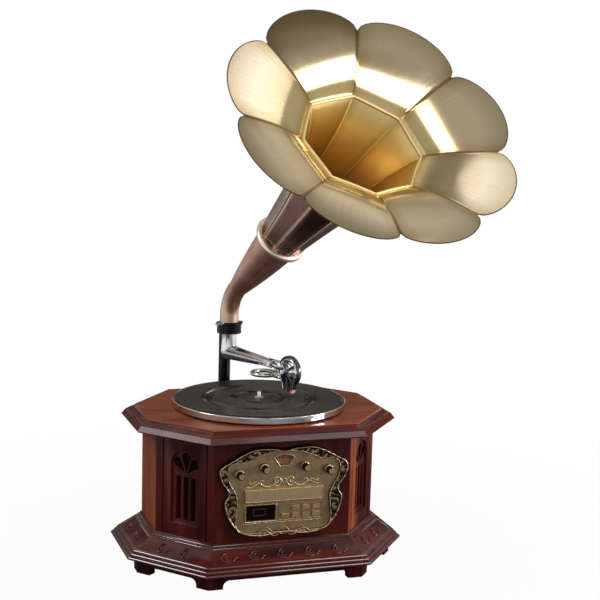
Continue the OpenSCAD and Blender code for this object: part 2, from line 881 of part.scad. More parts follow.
module control_pots() {
    pot_r = 11;
    pot_depth = 13;
    color([0.55, 0.55, 0.56])
        for (p = knob_places)
            translate([p[0], 0, p[1]])
                difference() {
                    union() {
                        bar_y(pot_bush_d / 2, front_y - fascia_t + 1, inner_front_y);
                        bar_y(pot_r, inner_front_y, inner_front_y + pot_depth);
                    }
                    bar_y(shaft_d / 2 + running, fascia_front - through, inner_front_y + 6 + fit_gap);
                }
}

// Buttons slide in the escutcheon and press switches on a board behind it
button_proud = 2.5;
plunger_d = 4;
board_t = 1.6;
plunger_end_y = front_y + 4;
switch_top_y = plunger_end_y + button_travel + fit_gap;
board_y = switch_top_y + 2.5;

module button(i) {
    p = button_places[i];
    flange = 1;
    color([0.60, 0.52, 0.36])
        union() {
            translate([p[0] - button_w / 2, fascia_front - button_proud, p[1] - button_h / 2])
                cube([button_w, fascia_t + button_proud + 0.5, button_h]);
            translate([p[0] - button_w / 2 - flange, front_y + 0.5, p[1] - button_h / 2 - flange])
                cube([button_w + 2 * flange, 1, button_h + 2 * flange]);
            translate([p[0], 0, p[1]])
                bar_y(plunger_d / 2, front_y + 1, plunger_end_y);
        }
}

module button_1() button(0);
module button_2() button(1);
module button_3() button(2);
module button_4() button(3);
module button_5() button(4);
module button_6() button(5);
module button_7() button(6);

module switch_board() {
    x0 = button_xs[0] - button_w / 2 - 4;
    x1 = button_xs[3] + button_w / 2 + 4;
    z0 = button_low_z - button_h / 2 - 4;
    z1 = button_top_z + button_h / 2 + 4;
    post_r = 1.2;
    color([0.10, 0.32, 0.18]) {
        translate([x0, board_y, z0])
            cube([x1 - x0, board_t, z1 - z0]);
        for (x = [x0 + post_r + 0.2, x1 - post_r - 0.2])
            for (z = [z0 + post_r + 0.2, z1 - post_r - 0.2])
                translate([x, 0, z])
                    bar_y(post_r, front_y, board_y);
        for (p = button_places)
            translate([p[0] - 3, switch_top_y, p[1] - 3])
                cube([6, board_y - switch_top_y, 6]);
    }
}

// Disc drawer: a bar in front of the escutcheon and a tray with a disc well, in a housing
housing_rear = 16;
hub_hole_d = 30;
housing_len = tray_len + housing_rear;
housing_half_w = field_half_w + 6;
housing_top_z = field_open_z1 + 6;
housing_floor_z = tray_bottom_z - tray_clear - housing_wall;

module cd_drawer() {
    tray_front = fascia_front - fit_gap;
    well_y = tray_front + disc_d / 2 + 4;
    color([0.52, 0.45, 0.31])
        translate([-bar_w / 2, tray_front - bar_t, drawer_z - bar_h / 2])
            cube([bar_w, bar_t, bar_h]);
    color([0.08, 0.08, 0.09])
        difference() {
            translate([-tray_w / 2, tray_front, tray_bottom_z])
                cube([tray_w, tray_len, tray_t]);
            translate([0, well_y, tray_bottom_z + tray_t - disc_depth])
                cylinder(d = disc_d, h = tray_t);
            translate([0, well_y, tray_bottom_z - through])
                cylinder(d = hub_hole_d, h = 2 * tray_t);
            translate([-9, well_y, tray_bottom_z - through])
                cube([18, disc_d / 2 - 4, 2 * tray_t]);
        }
}

module cd_housing() {
    color([0.62, 0.63, 0.64])
        difference() {
            translate([-housing_half_w, inner_front_y, housing_floor_z])
                cube([2 * housing_half_w, housing_len, housing_top_z - housing_floor_z]);
            translate([-tray_w / 2 - tray_clear, inner_front_y - through, tray_bottom_z - tray_clear])
                cube([tray_w + 2 * tray_clear, housing_len - housing_wall + through,
                      housing_top_z - housing_wall - tray_bottom_z + tray_clear]);
        }
}

// Electronics that stand on the base board
amp_w = 150;
amp_d = 84;
amp_y = 20;
stand_h = 8;
stand_r = 3;
stand_inset = 6;
heat_sink = [70, 14, 34];
heat_sink_x = -55;
heat_sink_inset = 10;
capacitor_d = 18;
capacitor_h = 28;
capacitor_pitch = 24;
capacitor_x = 35;

module amplifier_board() {
    amp_z = base_top_z + stand_h;
    color([0.10, 0.32, 0.18]) {
        translate([-amp_w / 2, amp_y, amp_z])
            cube([amp_w, amp_d, board_t]);
        for (s = [-1, 1])
            for (y = [amp_y + stand_inset, amp_y + amp_d - stand_inset])
                translate([s * (amp_w / 2 - stand_inset), y, base_top_z])
                    cylinder(r = stand_r, h = stand_h);
    }
    color([0.6, 0.6, 0.62]) {
        translate([heat_sink_x, amp_y + amp_d - heat_sink_inset - heat_sink[1], amp_z + board_t])
            cube(heat_sink);
        for (i = [-1 : 1])
            translate([capacitor_x, amp_y + amp_d / 2 + capacitor_pitch * i, amp_z + board_t])
                cylinder(d = capacitor_d, h = capacitor_h);
    }
}

core_w = 44;
core_d = 62;
core_h = 50;
core_x = 128;
core_y = 30;
winding_t = 8;
winding_inset = 10;

module power_transformer() {
    color([0.25, 0.24, 0.23])
        translate([core_x - core_w / 2, core_y - core_d / 2, base_top_z])
            cube([core_w, core_d, core_h]);
    color([0.55, 0.28, 0.12])
        for (s = [-1, 1])
            translate([core_x + s * (core_w + winding_t) / 2 - winding_t / 2,
                       core_y - core_d / 2 + winding_inset, base_top_z + winding_inset])
                cube([winding_t, core_d - 2 * winding_inset, core_h - 2 * winding_inset]);
}

// Turntable: the spindle runs in a closed bush, and a belt turns the ring under the platter
platter_z = top_z + platter_gap;
platter_top_z = platter_z + platter_rim_h;
deck_z = platter_top_z - deck_t - 1.5;
mat_top_z = deck_z + deck_t + mat_t;
bush_floor_z = lip_z - spindle_drop;
hub_r = 11;
hub_z = platter_z - 1;

module bearing_bush() {
    flange_r = bush_d / 2 + 10;
    color([0.70, 0.58, 0.32])
        difference() {
            union() {
                translate([0, 0, bush_floor_z - 4])
                    cylinder(d = bush_d, h = hub_z - fit_gap - bush_floor_z + 4);
                translate([0, 0, lip_z - 4])
                    cylinder(r = flange_r, h = 4);
            }
            translate([0, 0, bush_floor_z])
                cylinder(d = spindle_d + 2 * running, h = top_z - bush_floor_z + 10);
        }
}

module spindle() {
    r = pin_d / 2;
    washer_r = 9;
    color(chrome)
        rotate_extrude()
            polygon(concat(
                [[0, bush_floor_z + seat_gap], [spindle_d / 2, bush_floor_z + seat_gap],
                 [spindle_d / 2, hub_z], [hub_r, hub_z], [hub_r, deck_z], [r, deck_z], [r, mat_top_z],
                 [washer_r, mat_top_z],
                 [washer_r - 1, mat_top_z + 1.2], [r, mat_top_z + 1.6], [r, mat_top_z + pin_h - pin_dome_h]],
                [for (a = [15 : 15 : 75]) [r * cos(a), mat_top_z + pin_h - pin_dome_h * (1 - sin(a))]],
                [[0, mat_top_z + pin_h]]));
}

module platter() {
    r = platter_d / 2;
    ring_r = belt_ring_d / 2;
    rim_w = 3;
    color(chrome)
        rotate_extrude($fn = 128)
            polygon([[pin_d / 2 + hole_gap, deck_z], [ring_r - 4, deck_z], [ring_r - 4, platter_z],
                     [ring_r, platter_z], [ring_r, deck_z], [r - rim_w, deck_z], [r - rim_w, platter_z],
                     [r - 0.8, platter_z], [r, platter_z + 0.8], [r, platter_top_z - 1],
                     [r - 1, platter_top_z],
                     [r - rim_w, platter_top_z], [r - rim_w - 1, deck_z + deck_t],
                     [pin_d / 2 + hole_gap, deck_z + deck_t]]);
}

// Mat with two raised steps
module platter_mat() {
    r = platter_d / 2 - 5;
    floor_z = deck_z + deck_t;
    step = 0.8;
    color([0.12, 0.11, 0.11])
        rotate_extrude($fn = 128)
            polygon([[pin_d / 2 + hole_gap, floor_z], [r, floor_z], [r, mat_top_z - step - 0.6],
                     [r - 1, mat_top_z - step], [0.68 * r, mat_top_z - step], [0.67 * r, mat_top_z],
                     [0.60 * r, mat_top_z], [0.59 * r, mat_top_z - step], [0.34 * r, mat_top_z - step],
                     [0.33 * r, mat_top_z], [pin_d / 2 + hole_gap, mat_top_z]]);
}

belt_z = platter_z + 1;

module belt_drawing(g) {
    hull() {
        circle(r = belt_ring_d / 2 + g, $fn = 180);
        translate([motor_x, motor_y])
            circle(r = pulley_d / 2 + g, $fn = 48);
    }
}

module drive_belt() {
    color(black_enamel)
        translate([0, 0, belt_z])
            linear_extrude(belt_h)
                difference() {
                    belt_drawing(fit_gap + belt_t);
                    belt_drawing(fit_gap);
                }
}

motor_shaft_r = 1.6;
motor_plate_t = 2;

module motor() {
    plate = 1.35 * motor_d;
    color([0.45, 0.45, 0.47])
        translate([motor_x, motor_y, 0])
            difference() {
                union() {
                    translate([-plate / 2, -plate / 2, lip_z - motor_plate_t])
                        cube([plate, plate, motor_plate_t]);
                    translate([0, 0, lip_z - motor_plate_t - motor_h])
                        cylinder(d = motor_d, h = motor_h);
                }
                translate([0, 0, lip_z - motor_plate_t - 10 - fit_gap])
                    cylinder(r = motor_shaft_r + running, h = 20);
            }
}

module motor_pulley() {
    pulley_z = belt_z - 0.6;
    pulley_h = belt_h + 1.2;
    color(brass)
        translate([motor_x, motor_y, 0]) {
            translate([0, 0, lip_z - motor_plate_t - 10])
                cylinder(r = motor_shaft_r, h = pulley_z - lip_z + motor_plate_t + 10);
            translate([0, 0, pulley_z])
                cylinder(d = pulley_d, h = pulley_h);
        }
}

// Back bracket: a foot plate on the back panel, a bent post behind the lip and the collar's eye
post_y = collar_y + post_back;
post_r = post_d / 2;
post_bend_r = 24;
post_foot_z = plate_z + plate_h / 2;
collar_z = top_z + collar_rise;
collar_top_z = collar_z + collar_h;
stem_r = stem_d / 2;
stem_flange_r = stem_r + 2;
shoulder_z = collar_z + 4;
stem_top_z = shoulder_z + 3;
spigot_r = stem_flange_r + 1;
spigot_z = stem_top_z + 1.5;

module back_bracket() {
    color(black_enamel)
        difference() {
            union() {
                translate([bracket_x - plate_w / 2, back_y, plate_z])
                    cube([plate_w, plate_t, plate_h]);
                translate([bracket_x, 0, post_foot_z])
                    bar_y(post_r, back_y + plate_t / 2, post_y - post_bend_r);
                translate([bracket_x, post_y - post_bend_r, post_foot_z + post_bend_r])
                    rotate([90, 0, 90])
                        rotate([0, 0, -90])
                            rotate_extrude(angle = 90)
                                translate([post_bend_r, 0])
                                    circle(r = post_r);
                translate([bracket_x, post_y, post_foot_z + post_bend_r])
                    cylinder(r = post_r, h = collar_top_z - 3 - post_foot_z - post_bend_r);
                translate([bracket_x, collar_y, collar_z])
                    cylinder(d = collar_d, h = collar_h);
            }
            translate([bracket_x, collar_y, collar_z - through])
                cylinder(r = stem_r + running, h = collar_h + 2 * through);
            translate([bracket_x, collar_y, shoulder_z])
                cylinder(r = stem_flange_r + fit_gap, h = collar_h);
            translate([bracket_x, collar_y, spigot_z - fit_gap])
                cylinder(r = spigot_r + running, h = collar_h);
            for (p = bolt_places)
                translate([p[0], 0, p[1]])
                    bar_y(bolt_d / 2 + hole_gap, back_y - through, back_y + plate_t + through);
        }
}

module bracket_bolts() {
    color(chrome)
        for (p = bolt_places)
            translate([p[0], 0, p[1]]) {
                bar_y(bolt_d / 2, back_y - panel_t - 4, back_y + plate_t);
                bar_y(bolt_d, back_y + plate_t, back_y + plate_t + 3);
            }
}

// Tone arm, along its own X axis from the collar's axis
module at_arm() {
    translate([bracket_x, collar_y, 0])
        rotate([0, 0, arm_heading - 90])
            children();
}

arm_z = collar_z - arm_drop;
pivot_reach = arm_len + pivot_out;
head_reach = pivot_reach + head_len;
cheek_t = 3;
lug_w = 9;
cheek_y = lug_w / 2 + seat_gap;
cheek_h = 13;
pivot_r = pivot_d / 2;
pin_head_r = 4;

module arm_tube(r0, r1, x1) {
    rotate([0, 90, 0])
        cylinder(r1 = r0, r2 = r1, h = x1);
}

module tonearm() {
    elbow_r = stem_r + 0.4;
    cheek_x = arm_len - 6;
    color(chrome)
        at_arm()
            difference() {
                union() {
                    translate([0, 0, arm_z])
                        cylinder(r = stem_r, h = stem_top_z - arm_z);
                    translate([0, 0, shoulder_z + seat_gap])
                        cylinder(r = stem_flange_r, h = stem_top_z - shoulder_z - seat_gap);
                    translate([0, 0, arm_z])
                        sphere(r = elbow_r);
                    translate([0, 0, arm_z])
                        arm_tube(stem_r - 0.6, arm_end_d / 2, arm_len);
                    for (s = [-1, 1])
                        translate([cheek_x, s > 0 ? cheek_y : -cheek_y - cheek_t, arm_z - cheek_h / 2])
                            cube([pivot_reach + cheek_h / 2 - cheek_x, cheek_t, cheek_h]);
                }
                translate([0, 0, arm_z])
                    cylinder(r = stem_r - arm_wall, h = collar_h + arm_drop);
                translate([0, 0, arm_z])
                    arm_tube(stem_r - 0.6 - arm_wall, arm_end_d / 2 - arm_wall, arm_len - 8);
                translate([pivot_reach, 0, arm_z])
                    bar_y(pivot_r + hole_gap, -2 * lug_w, 2 * lug_w);
            }
}

// Pivot screw across the cheeks at the arm's end
module arm_pin() {
    reach = cheek_y + cheek_t;
    color(chrome)
        at_arm()
            translate([pivot_reach, 0, arm_z]) {
                bar_y(pivot_r, -reach, reach);
                bar_y(pin_head_r, -reach - 2, -reach);
                bar_y(pin_head_r, reach, reach + 2);
            }
}

// Head of the arm: it lifts about the pivot
head_z = arm_z - head_drop;
head_r = soundbox_d / 2;
head_foot = head_reach - head_r;
neck_pin_r = 3;
neck_pin_end = head_foot + 4;
stylus_z = mat_top_z + stylus_gap;
ring_rod_r = finger_rod_d / 2;
lug_rod_r = ring_rod_r - 0.4;
lug_rod_in = 3;
finger_r = finger_ring_d / 2;
finger_z = arm_z - 21;
finger_x = head_foot - finger_r - 22;
lug_rod_end = head_reach - sqrt(pow(head_r, 2) - pow(head_z - finger_z, 2)) + lug_rod_in;

// Round bar along the arm, from x0 to x1 at height z
module arm_bar(r, x0, x1, z) {
    translate([x0, 0, z])
        rotate([0, 90, 0])
            cylinder(r = r, h = x1 - x0);
}

module gooseneck() {
    lug_end = pivot_reach + cheek_h / 2 + 3;
    color(chrome)
        at_arm()
            difference() {
                union() {
                    translate([pivot_reach, 0, arm_z])
                        bar_y(cheek_h / 2, -lug_w / 2, lug_w / 2);
                    translate([pivot_reach, -lug_w / 2, arm_z - gooseneck_d / 2 + 1])
                        cube([lug_end + 3 - pivot_reach, lug_w, gooseneck_d - 2]);
                    arm_bar(gooseneck_d / 2, lug_end, head_foot - hole_gap, arm_z);
                    arm_bar(neck_pin_r, lug_end, neck_pin_end, arm_z);
                }
                translate([pivot_reach, 0, arm_z])
                    bar_y(pivot_r + running, -lug_w, lug_w);
            }
}

module finger_ring() {
    color(chrome)
        at_arm()
            union() {
                translate([finger_x, 0, finger_z])
                    rotate_extrude()
                        translate([finger_r, 0])
                            circle(r = ring_rod_r, $fn = 32);
                arm_bar(lug_rod_r, finger_x + finger_r, lug_rod_end, finger_z);
            }
}

module soundbox() {
    color(black_enamel)
        at_arm()
            difference() {
                translate([head_reach, 0, head_z])
                    bar_y(head_r, -soundbox_t / 2, soundbox_t / 2);
                translate([head_reach, 0, head_z])
                    bar_y(head_r - cover_inset, -soundbox_t / 2 - through, cover_y);
                arm_bar(neck_pin_r + hole_gap, head_foot - through, neck_pin_end + hole_gap, arm_z);
                arm_bar(lug_rod_r + hole_gap, finger_x + finger_r, lug_rod_end + hole_gap, finger_z);
            }
}

// Chrome front of the soundbox: a dished disc with a raised boss
cover_inset = 5;
cover_y = 4 - soundbox_t / 2;

module soundbox_cover() {
    r = head_r - cover_inset - hole_gap;
    color(chrome)
        at_arm()
            translate([head_reach, cover_y, head_z])
                rotate([90, 0, 0])
                    rotate_extrude()
                        polygon([[0, 0], [r, 0], [r, 3], [r - 3, 4.5], [r - 6, 3.2], [9, 3.2], [7, 6],
                                 [4, 7.5], [0, 7.5]]);
}

// Cartridge block under the soundbox, and the stylus with its guard
cartridge_w = 13;
cartridge_foot = stylus_z + 9;

module cartridge() {
    color(black_enamel)
        at_arm()
            translate([head_reach, cartridge_w / 2, 0])
                rotate([90, 0, 0])
                    linear_extrude(cartridge_w)
                        polygon(concat(
                            [for (a = [-1 : 0.25 : 1]) let (x = a * cartridge_w)
                                [x, head_z - sqrt(pow(head_r, 2) - x * x) - hole_gap]],
                            [[cartridge_w - 3, cartridge_foot + 4], [8, cartridge_foot], [-8, cartridge_foot],
                             [3 - cartridge_w, cartridge_foot + 4]]));
}

module stylus() {
    guard_w = 6;
    color([0.75, 0.08, 0.06])
        at_arm()
            union() {
                translate([head_reach + guard_w / 2, guard_w / 2, 0])
                    rotate([90, 0, 0])
                        linear_extrude(guard_w)
                            polygon([[-7, cartridge_foot], [6, cartridge_foot], [6, stylus_z + 3],
                                     [3, stylus_z + 2], [-7, cartridge_foot - 3]]);
                translate([head_reach + guard_w / 2 + 3.5, 0, stylus_z])
                    cylinder(r1 = 0.4, r2 = 1.6, h = 4);
            }
}

// Horn, along its own X axis from the collar's axis
module at_horn() {
    translate([bracket_x, collar_y, 0])
        rotate([0, 0, horn_heading - 90])
            children();
}

neck_r = neck_d / 2;
cone_r = neck_cone_d / 2;
flange_t = 3;
neck_z = collar_top_z + seat_gap;
bend_z = neck_z + flange_t + neck_rise;
neck_climb = 90 - neck_bend;
cone_x = neck_bend_r * (1 - cos(neck_bend));
cone_z = bend_z + neck_bend_r * sin(neck_bend);
ring_x = cone_x + neck_cone_len * cos(neck_climb);
ring_z = cone_z + neck_cone_len * sin(neck_climb);

// Sleeve over a joint of two neck tubes, on the plane z 0
joint_lap = 2;
joint_proud = 1;
neck_bore_r = neck_r - neck_wall;

module neck_sleeve() {
    translate([0, 0, -2 * joint_lap])
        difference() {
            cylinder(r = neck_r + joint_proud, h = 4 * joint_lap);
            translate([0, 0, -through])
                cylinder(r = neck_bore_r - joint_proud / 2, h = 4 * joint_lap + 2 * through);
        }
}

// Neck: a flanged upright tube with a spigot in the collar, a bent tube and a cone, joined by sleeves
module horn_elbow() {
    ear_w = 9;
    ear_out = 7;
    flange_r = collar_d / 2 + 1.5;
    tube_top = bend_z - joint_lap;
    cone_steps = 6;
    cone_line = [for (i = [0 : cone_steps]) let (t = i / cone_steps)
        [neck_r + (cone_r - neck_r) * t + 4 * cone_swell * t * (1 - t),
         joint_lap + (neck_cone_len - joint_lap) * t]];
    color(copper)
        at_horn()
            union() {
                rotate_extrude()
                    polygon([[neck_bore_r, spigot_z], [spigot_r, spigot_z], [spigot_r, neck_z],
                             [flange_r, neck_z], [flange_r, neck_z + flange_t],
                             [neck_r, neck_z + flange_t], [neck_r, tube_top], [neck_bore_r, tube_top]]);
                for (s = [0, 180])
                    rotate([0, 0, s])
                        translate([-ear_w / 2, neck_r + 2, neck_z])
                            cube([ear_w, collar_d / 2 + ear_out - neck_r - 2, flange_t]);
                translate([neck_bend_r, 0, bend_z])
                    rotate([90, 0, 0])
                        rotate([0, 0, 180 - neck_bend])
                            rotate_extrude(angle = neck_bend)
                                translate([neck_bend_r, 0])
                                    difference() {
                                        circle(r = neck_r);
                                        circle(r = neck_bore_r);
                                    }
                translate([0, 0, bend_z])
                    neck_sleeve();
                translate([cone_x, 0, cone_z])
                    rotate([0, neck_bend, 0]) {
                        neck_sleeve();
                        rotate_extrude()
                            polygon(concat(cone_line,
                                [for (i = [cone_steps : -1 : 0]) cone_line[i] - [neck_wall, 0]]));
                    }
            }
}

// Moulded ring over the joint of neck and bell, its bore widening with the bell
root_r = cone_r - bell_wall;

module horn_ring() {
    back_r = cone_r + fit_gap;
    front_r = back_r + ring_w / 2 * root_r / flare_x + fit_gap;
    color([0.78, 0.50, 0.38])
        at_horn()
            translate([ring_x, 0, ring_z])
                rotate([0, neck_bend, 0])
                    rotate_extrude()
                        polygon(concat(
                            [[back_r, 0], [back_r, -ring_w / 2]],
                            [for (a = [-70 : 14 : 70]) [back_r + ring_t * cos(a), ring_w / 2 * sin(a)]],
                            [[front_r, ring_w / 2]]));
}

// Bell: seam and petal middle lines as [distance along the axis, radius], from the ring to the edge
flat = cos(180 / 8);
mouth_c = [mouth_reach, 0, collar_top_z + mouth_rise];
ring_c = [ring_x, 0, ring_z];
root_way = [cos(neck_climb), 0, sin(neck_climb)];
mouth_way = [cos(mouth_tilt) * cos(mouth_turn), -cos(mouth_tilt) * sin(mouth_turn), sin(mouth_tilt)];
axis_len = norm(mouth_c - ring_c);
flare_x = axis_len - flare_depth;
axis_line = [ring_c, ring_c + axis_len / 3 * root_way, mouth_c - axis_len / 3 * mouth_way, mouth_c];
seam_stem = [[0.5, root_r], [0.3 * flare_x, 1.3 * root_r], [0.8 * flare_x, 0.64 * flare_r],
             [flare_x, flare_r]];
seam_flare = [[flare_x, flare_r], [flare_x + 0.32 * flare_depth, flare_r + 0.11 * (notch_r - flare_r)],
              [axis_len - 0.12 * flare_depth, flare_r + 0.5 * (notch_r - flare_r)], [axis_len, notch_r]];
mid_stem = [for (p = seam_stem) [p[0], p[1] * flat]];
mid_tip_x = axis_len + tip_forward;
mid_flare = [mid_stem[3], [flare_x + 0.36 * flare_depth, flare_r * flat + 0.1 * (tip_r - flare_r)],
             [mid_tip_x - 0.2 * flare_depth, flare_r + 0.45 * (tip_r - flare_r)], [mid_tip_x, tip_r]];
stem_steps = 7;
flare_steps = 10;
petal_steps = 6;
bell_rings = stem_steps + flare_steps + 1;
bell_sides = 8 * petal_steps;

// Station i along the bell: seam point, middle point and their outward ways, and the fullness of a petal
function station(i) =
    let (in_stem = i <= stem_steps)
    let (t = in_stem ? i / stem_steps : (i - stem_steps) / flare_steps)
    let (s = in_stem ? seam_stem : seam_flare, m = in_stem ? mid_stem : mid_flare)
    let (sw = bezier_way(s, t), mw = bezier_way(m, t))
    [bezier(s, t), bezier(m, t), [-sw[1], sw[0]], [-mw[1], mw[0]], in_stem ? 1 : 1 - 0.42 * t];

// Point of the bell at station i and side j, moved outwards by g
function bell_point(i, j, g) =
    let (st = station(i))
    let (across = 2 * (j % petal_steps) / petal_steps - 1)
    let (full = pow(1 - across * across, st[4]))
    let (s = st[0] + g * st[2], m = st[1] + g * st[3])
    let (p = s + (m - s) * full)
    let (u = min(p[0], axis_len) / axis_len)
    let (c = bezier(axis_line, u), way = unit(root_way + (mouth_way - root_way) * u))
    let (side = unit([-way[1], way[0], 0]), up = cross(way, side))
    let (a0 = petal_phase + 360 * j / bell_sides, a = a0 + petal_spread * sin(a0 - 102))
    c + way * max(0, p[0] - axis_len) + p[1] * (cos(a) * side + sin(a) * up);

// Point of petal k at station i and column n; its two edges stand back from the seams
function petal_point(i, k, n, g) =
    let (j = k * petal_steps + n, p = bell_point(i, j, g))
    let (inner_j = n == 0 ? j + 1 : j - 1)
    n > 0 && n < petal_steps ? p : p + seat_gap / 2 * unit(bell_point(i, inner_j, g) - p);

function petal_id(i, n) = i * (petal_steps + 1) + n;
petal_count = bell_rings * (petal_steps + 1);

// One petal from the ring to its tip: an inner and an outer sheet, closed along all four edges
module petal(k) {
    points = [for (g = [0, bell_wall]) for (i = [0 : bell_rings - 1]) for (n = [0 : petal_steps])
        petal_point(i, k, n, g)];
    last = bell_rings - 1;
    sheet = [for (i = [0 : last - 1]) for (n = [0 : petal_steps - 1])
        [petal_id(i, n), petal_id(i, n + 1), petal_id(i + 1, n + 1), petal_id(i + 1, n)]];
    back = [for (q = sheet) [for (v = [3 : -1 : 0]) q[v] + petal_count]];
    rim = concat(
        [for (n = [0 : petal_steps - 1]) [petal_id(last, n), petal_id(last, n + 1)]],
        [for (n = [0 : petal_steps - 1]) [petal_id(0, n + 1), petal_id(0, n)]],
        [for (i = [0 : last - 1]) [petal_id(i, 0), petal_id(i + 1, 0)]],
        [for (i = [0 : last - 1]) [petal_id(i + 1, petal_steps), petal_id(i, petal_steps)]]);
    edges = [for (e = rim) [e[0], e[1], e[1] + petal_count, e[0] + petal_count]];
    quads = concat(sheet, back, edges);
    polyhedron(points, [for (q = quads) for (v = [0, 1]) [q[0], q[v + 1], q[v + 2]]]);
}

module horn_bell() {
    color(brass)
        at_horn()
            for (k = [0 : 7])
                petal(k);
}

top_board();
front_panel();
left_grille_panel();
right_grille_panel();
left_side_panel();
right_side_panel();
rear_left_panel();
rear_right_panel();
back_panel();
plinth_moulding();
base_board();
bracket_feet();
grille_cloths();
left_speaker();
right_speaker();
escutcheon();
dial_glass();
dial_card();
dial_pointer();
display_window();
cd_drawer();
cd_housing();
knob_volume();
knob_tone();
knob_tuning();
knob_band();
control_pots();
button_1();
button_2();
button_3();
button_4();
button_5();
button_6();
button_7();
switch_board();
amplifier_board();
power_transformer();
mains_inlet();
audio_sockets();
bearing_bush();
spindle();
platter();
platter_mat();
drive_belt();
motor();
motor_pulley();
back_bracket();
bracket_bolts();
tonearm();
arm_pin();
gooseneck();
finger_ring();
soundbox();
soundbox_cover();
cartridge();
stylus();
horn_elbow();
horn_ring();
horn_bell();
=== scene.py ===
import math

import bmesh
import bpy
import numpy as np
from mathutils import Matrix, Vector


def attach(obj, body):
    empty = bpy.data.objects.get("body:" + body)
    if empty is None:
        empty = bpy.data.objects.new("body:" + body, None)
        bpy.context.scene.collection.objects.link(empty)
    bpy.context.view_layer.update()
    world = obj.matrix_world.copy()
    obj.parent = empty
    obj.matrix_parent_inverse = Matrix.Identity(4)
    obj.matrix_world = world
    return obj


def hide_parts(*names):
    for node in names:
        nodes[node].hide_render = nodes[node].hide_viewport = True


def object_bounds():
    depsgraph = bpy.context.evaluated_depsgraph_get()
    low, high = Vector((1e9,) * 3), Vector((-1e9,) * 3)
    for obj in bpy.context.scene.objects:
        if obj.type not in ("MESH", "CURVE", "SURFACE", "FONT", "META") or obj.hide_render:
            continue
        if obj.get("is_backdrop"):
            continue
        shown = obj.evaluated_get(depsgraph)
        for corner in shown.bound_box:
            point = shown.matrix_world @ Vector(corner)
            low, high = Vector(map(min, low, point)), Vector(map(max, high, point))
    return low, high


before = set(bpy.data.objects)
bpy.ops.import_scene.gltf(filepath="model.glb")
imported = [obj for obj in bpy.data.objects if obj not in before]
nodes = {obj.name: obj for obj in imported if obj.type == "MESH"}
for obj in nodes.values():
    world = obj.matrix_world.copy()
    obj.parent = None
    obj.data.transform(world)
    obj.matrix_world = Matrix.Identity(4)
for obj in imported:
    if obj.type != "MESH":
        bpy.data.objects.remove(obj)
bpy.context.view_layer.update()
mm = 0.001
print("frame loaded:", len(nodes), "nodes")


# Shapes: points in mm and lists of faces, all closed and facing outwards
def outward(points, faceSets):
    # a closed shape's signed volume tells whether its faces point out
    points = np.asarray(points, float).reshape(-1, 3)
    volume = sum(np.einsum("ij,ij->", points[f[:, 0]], np.cross(points[f[:, k]], points[f[:, k + 1]]))
                 for f in faceSets for k in range(1, f.shape[1] - 1))
    return points, [f[:, ::-1] for f in faceSets] if volume < 0 else faceSets


def gridFaces(rows, cols, wrapRows):
    # quads between neighbouring rows and columns; the columns always close into a ring
    r, c = np.meshgrid(np.arange(rows if wrapRows else rows - 1), np.arange(cols), indexing="ij")
    nextRow, nextCol = (r + 1) % rows, (c + 1) % cols
    return np.stack([r * cols + c, r * cols + nextCol, nextRow * cols + nextCol, nextRow * cols + c],
                    -1).reshape(-1, 4)


def gridShape(grid, wrapRows=False):
    # a grid of points closed into a solid: rows that don't wrap get flat ends
    rows, cols = grid.shape[:2]
    faceSets = [gridFaces(rows, cols, wrapRows)]
    if not wrapRows:
        faceSets.append(np.arange(cols)[None, ::-1])
        faceSets.append((rows - 1) * cols + np.arange(cols)[None, :])
    return outward(grid, faceSets)


def merge(shapes):
    # several shapes as one: the faces of each count on from the points before it
    points, faceSets, base = [], [], 0
    for part, sets in shapes:
        points.append(part)
        faceSets += [f + base for f in sets]
        base += len(part)
    return np.concatenate(points), faceSets


def moved(shape, place):
    # the shape carried by a placing function, facing outwards again
    return outward(place(shape[0]), shape[1])


def lathe(profile, steps=96, closed=False):
    # each profile point [radius, height] runs round the z axis
    profile = np.asarray(profile, float)
    turn = np.linspace(0, 2 * np.pi, steps, endpoint=False)
    grid = np.stack([profile[:, :1] * np.cos(turn), profile[:, :1] * np.sin(turn),
                     np.repeat(profile[:, 1:], steps, 1)], -1)
    return gridShape(grid, wrapRows=closed)


def unit(v):
    # each vector over its own length
    return v / np.linalg.norm(v, axis=-1, keepdims=True)


def tube(path, radius, up, steps=12, closed=False):
    # circles of the given radius round a path, square to it; up is any direction off the path
    path = np.asarray(path, float)
    way = np.roll(path, -1, 0) - np.roll(path, 1, 0) if closed else np.gradient(path, axis=0)
    way = unit(way)
    side = unit(np.cross(way, np.broadcast_to(np.asarray(up, float), path.shape)))
    over = np.cross(side, way)
    turn = np.linspace(0, 2 * np.pi, steps, endpoint=False)[None, :, None]
    size = np.broadcast_to(np.asarray(radius, float), len(path))[:, None, None]
    grid = path[:, None] + size * (np.cos(turn) * side[:, None] + np.sin(turn) * over[:, None])
    return gridShape(grid, wrapRows=closed)


def smoothPath(points, steps, closed=False):
    # each stretch is a cubic of its two ends and their neighbours
    p = np.asarray(points, float)
    if not closed:
        p = np.concatenate([[2 * p[0] - p[1]], p, [2 * p[-1] - p[-2]]])
    a, b, c, d = (np.roll(p, k, 0)[:, None] for k in (1, 0, -1, -2))
    t = (np.arange(steps) / steps)[None, :, None]
    q = 0.5 * (2 * b + (c - a) * t + (2 * a - 5 * b + 4 * c - d) * t ** 2
               + (3 * b - a - 3 * c + d) * t ** 3)
    if closed:
        return q.reshape(-1, p.shape[1])
    return np.concatenate([q[1:-2].reshape(-1, p.shape[1]), p[-2:-1]])


def block(middle, half):
    # eight corners at plus and minus the half sizes
    corner = np.array([[x, y, z] for x in (-1, 1) for y in (-1, 1) for z in (-1, 1)])
    faces = np.array([[0, 1, 3, 2], [4, 6, 7, 5], [0, 4, 5, 1], [2, 3, 7, 6], [0, 2, 6, 4], [1, 5, 7, 3]])
    return outward(np.array(middle) + corner * np.array(half), [faces])


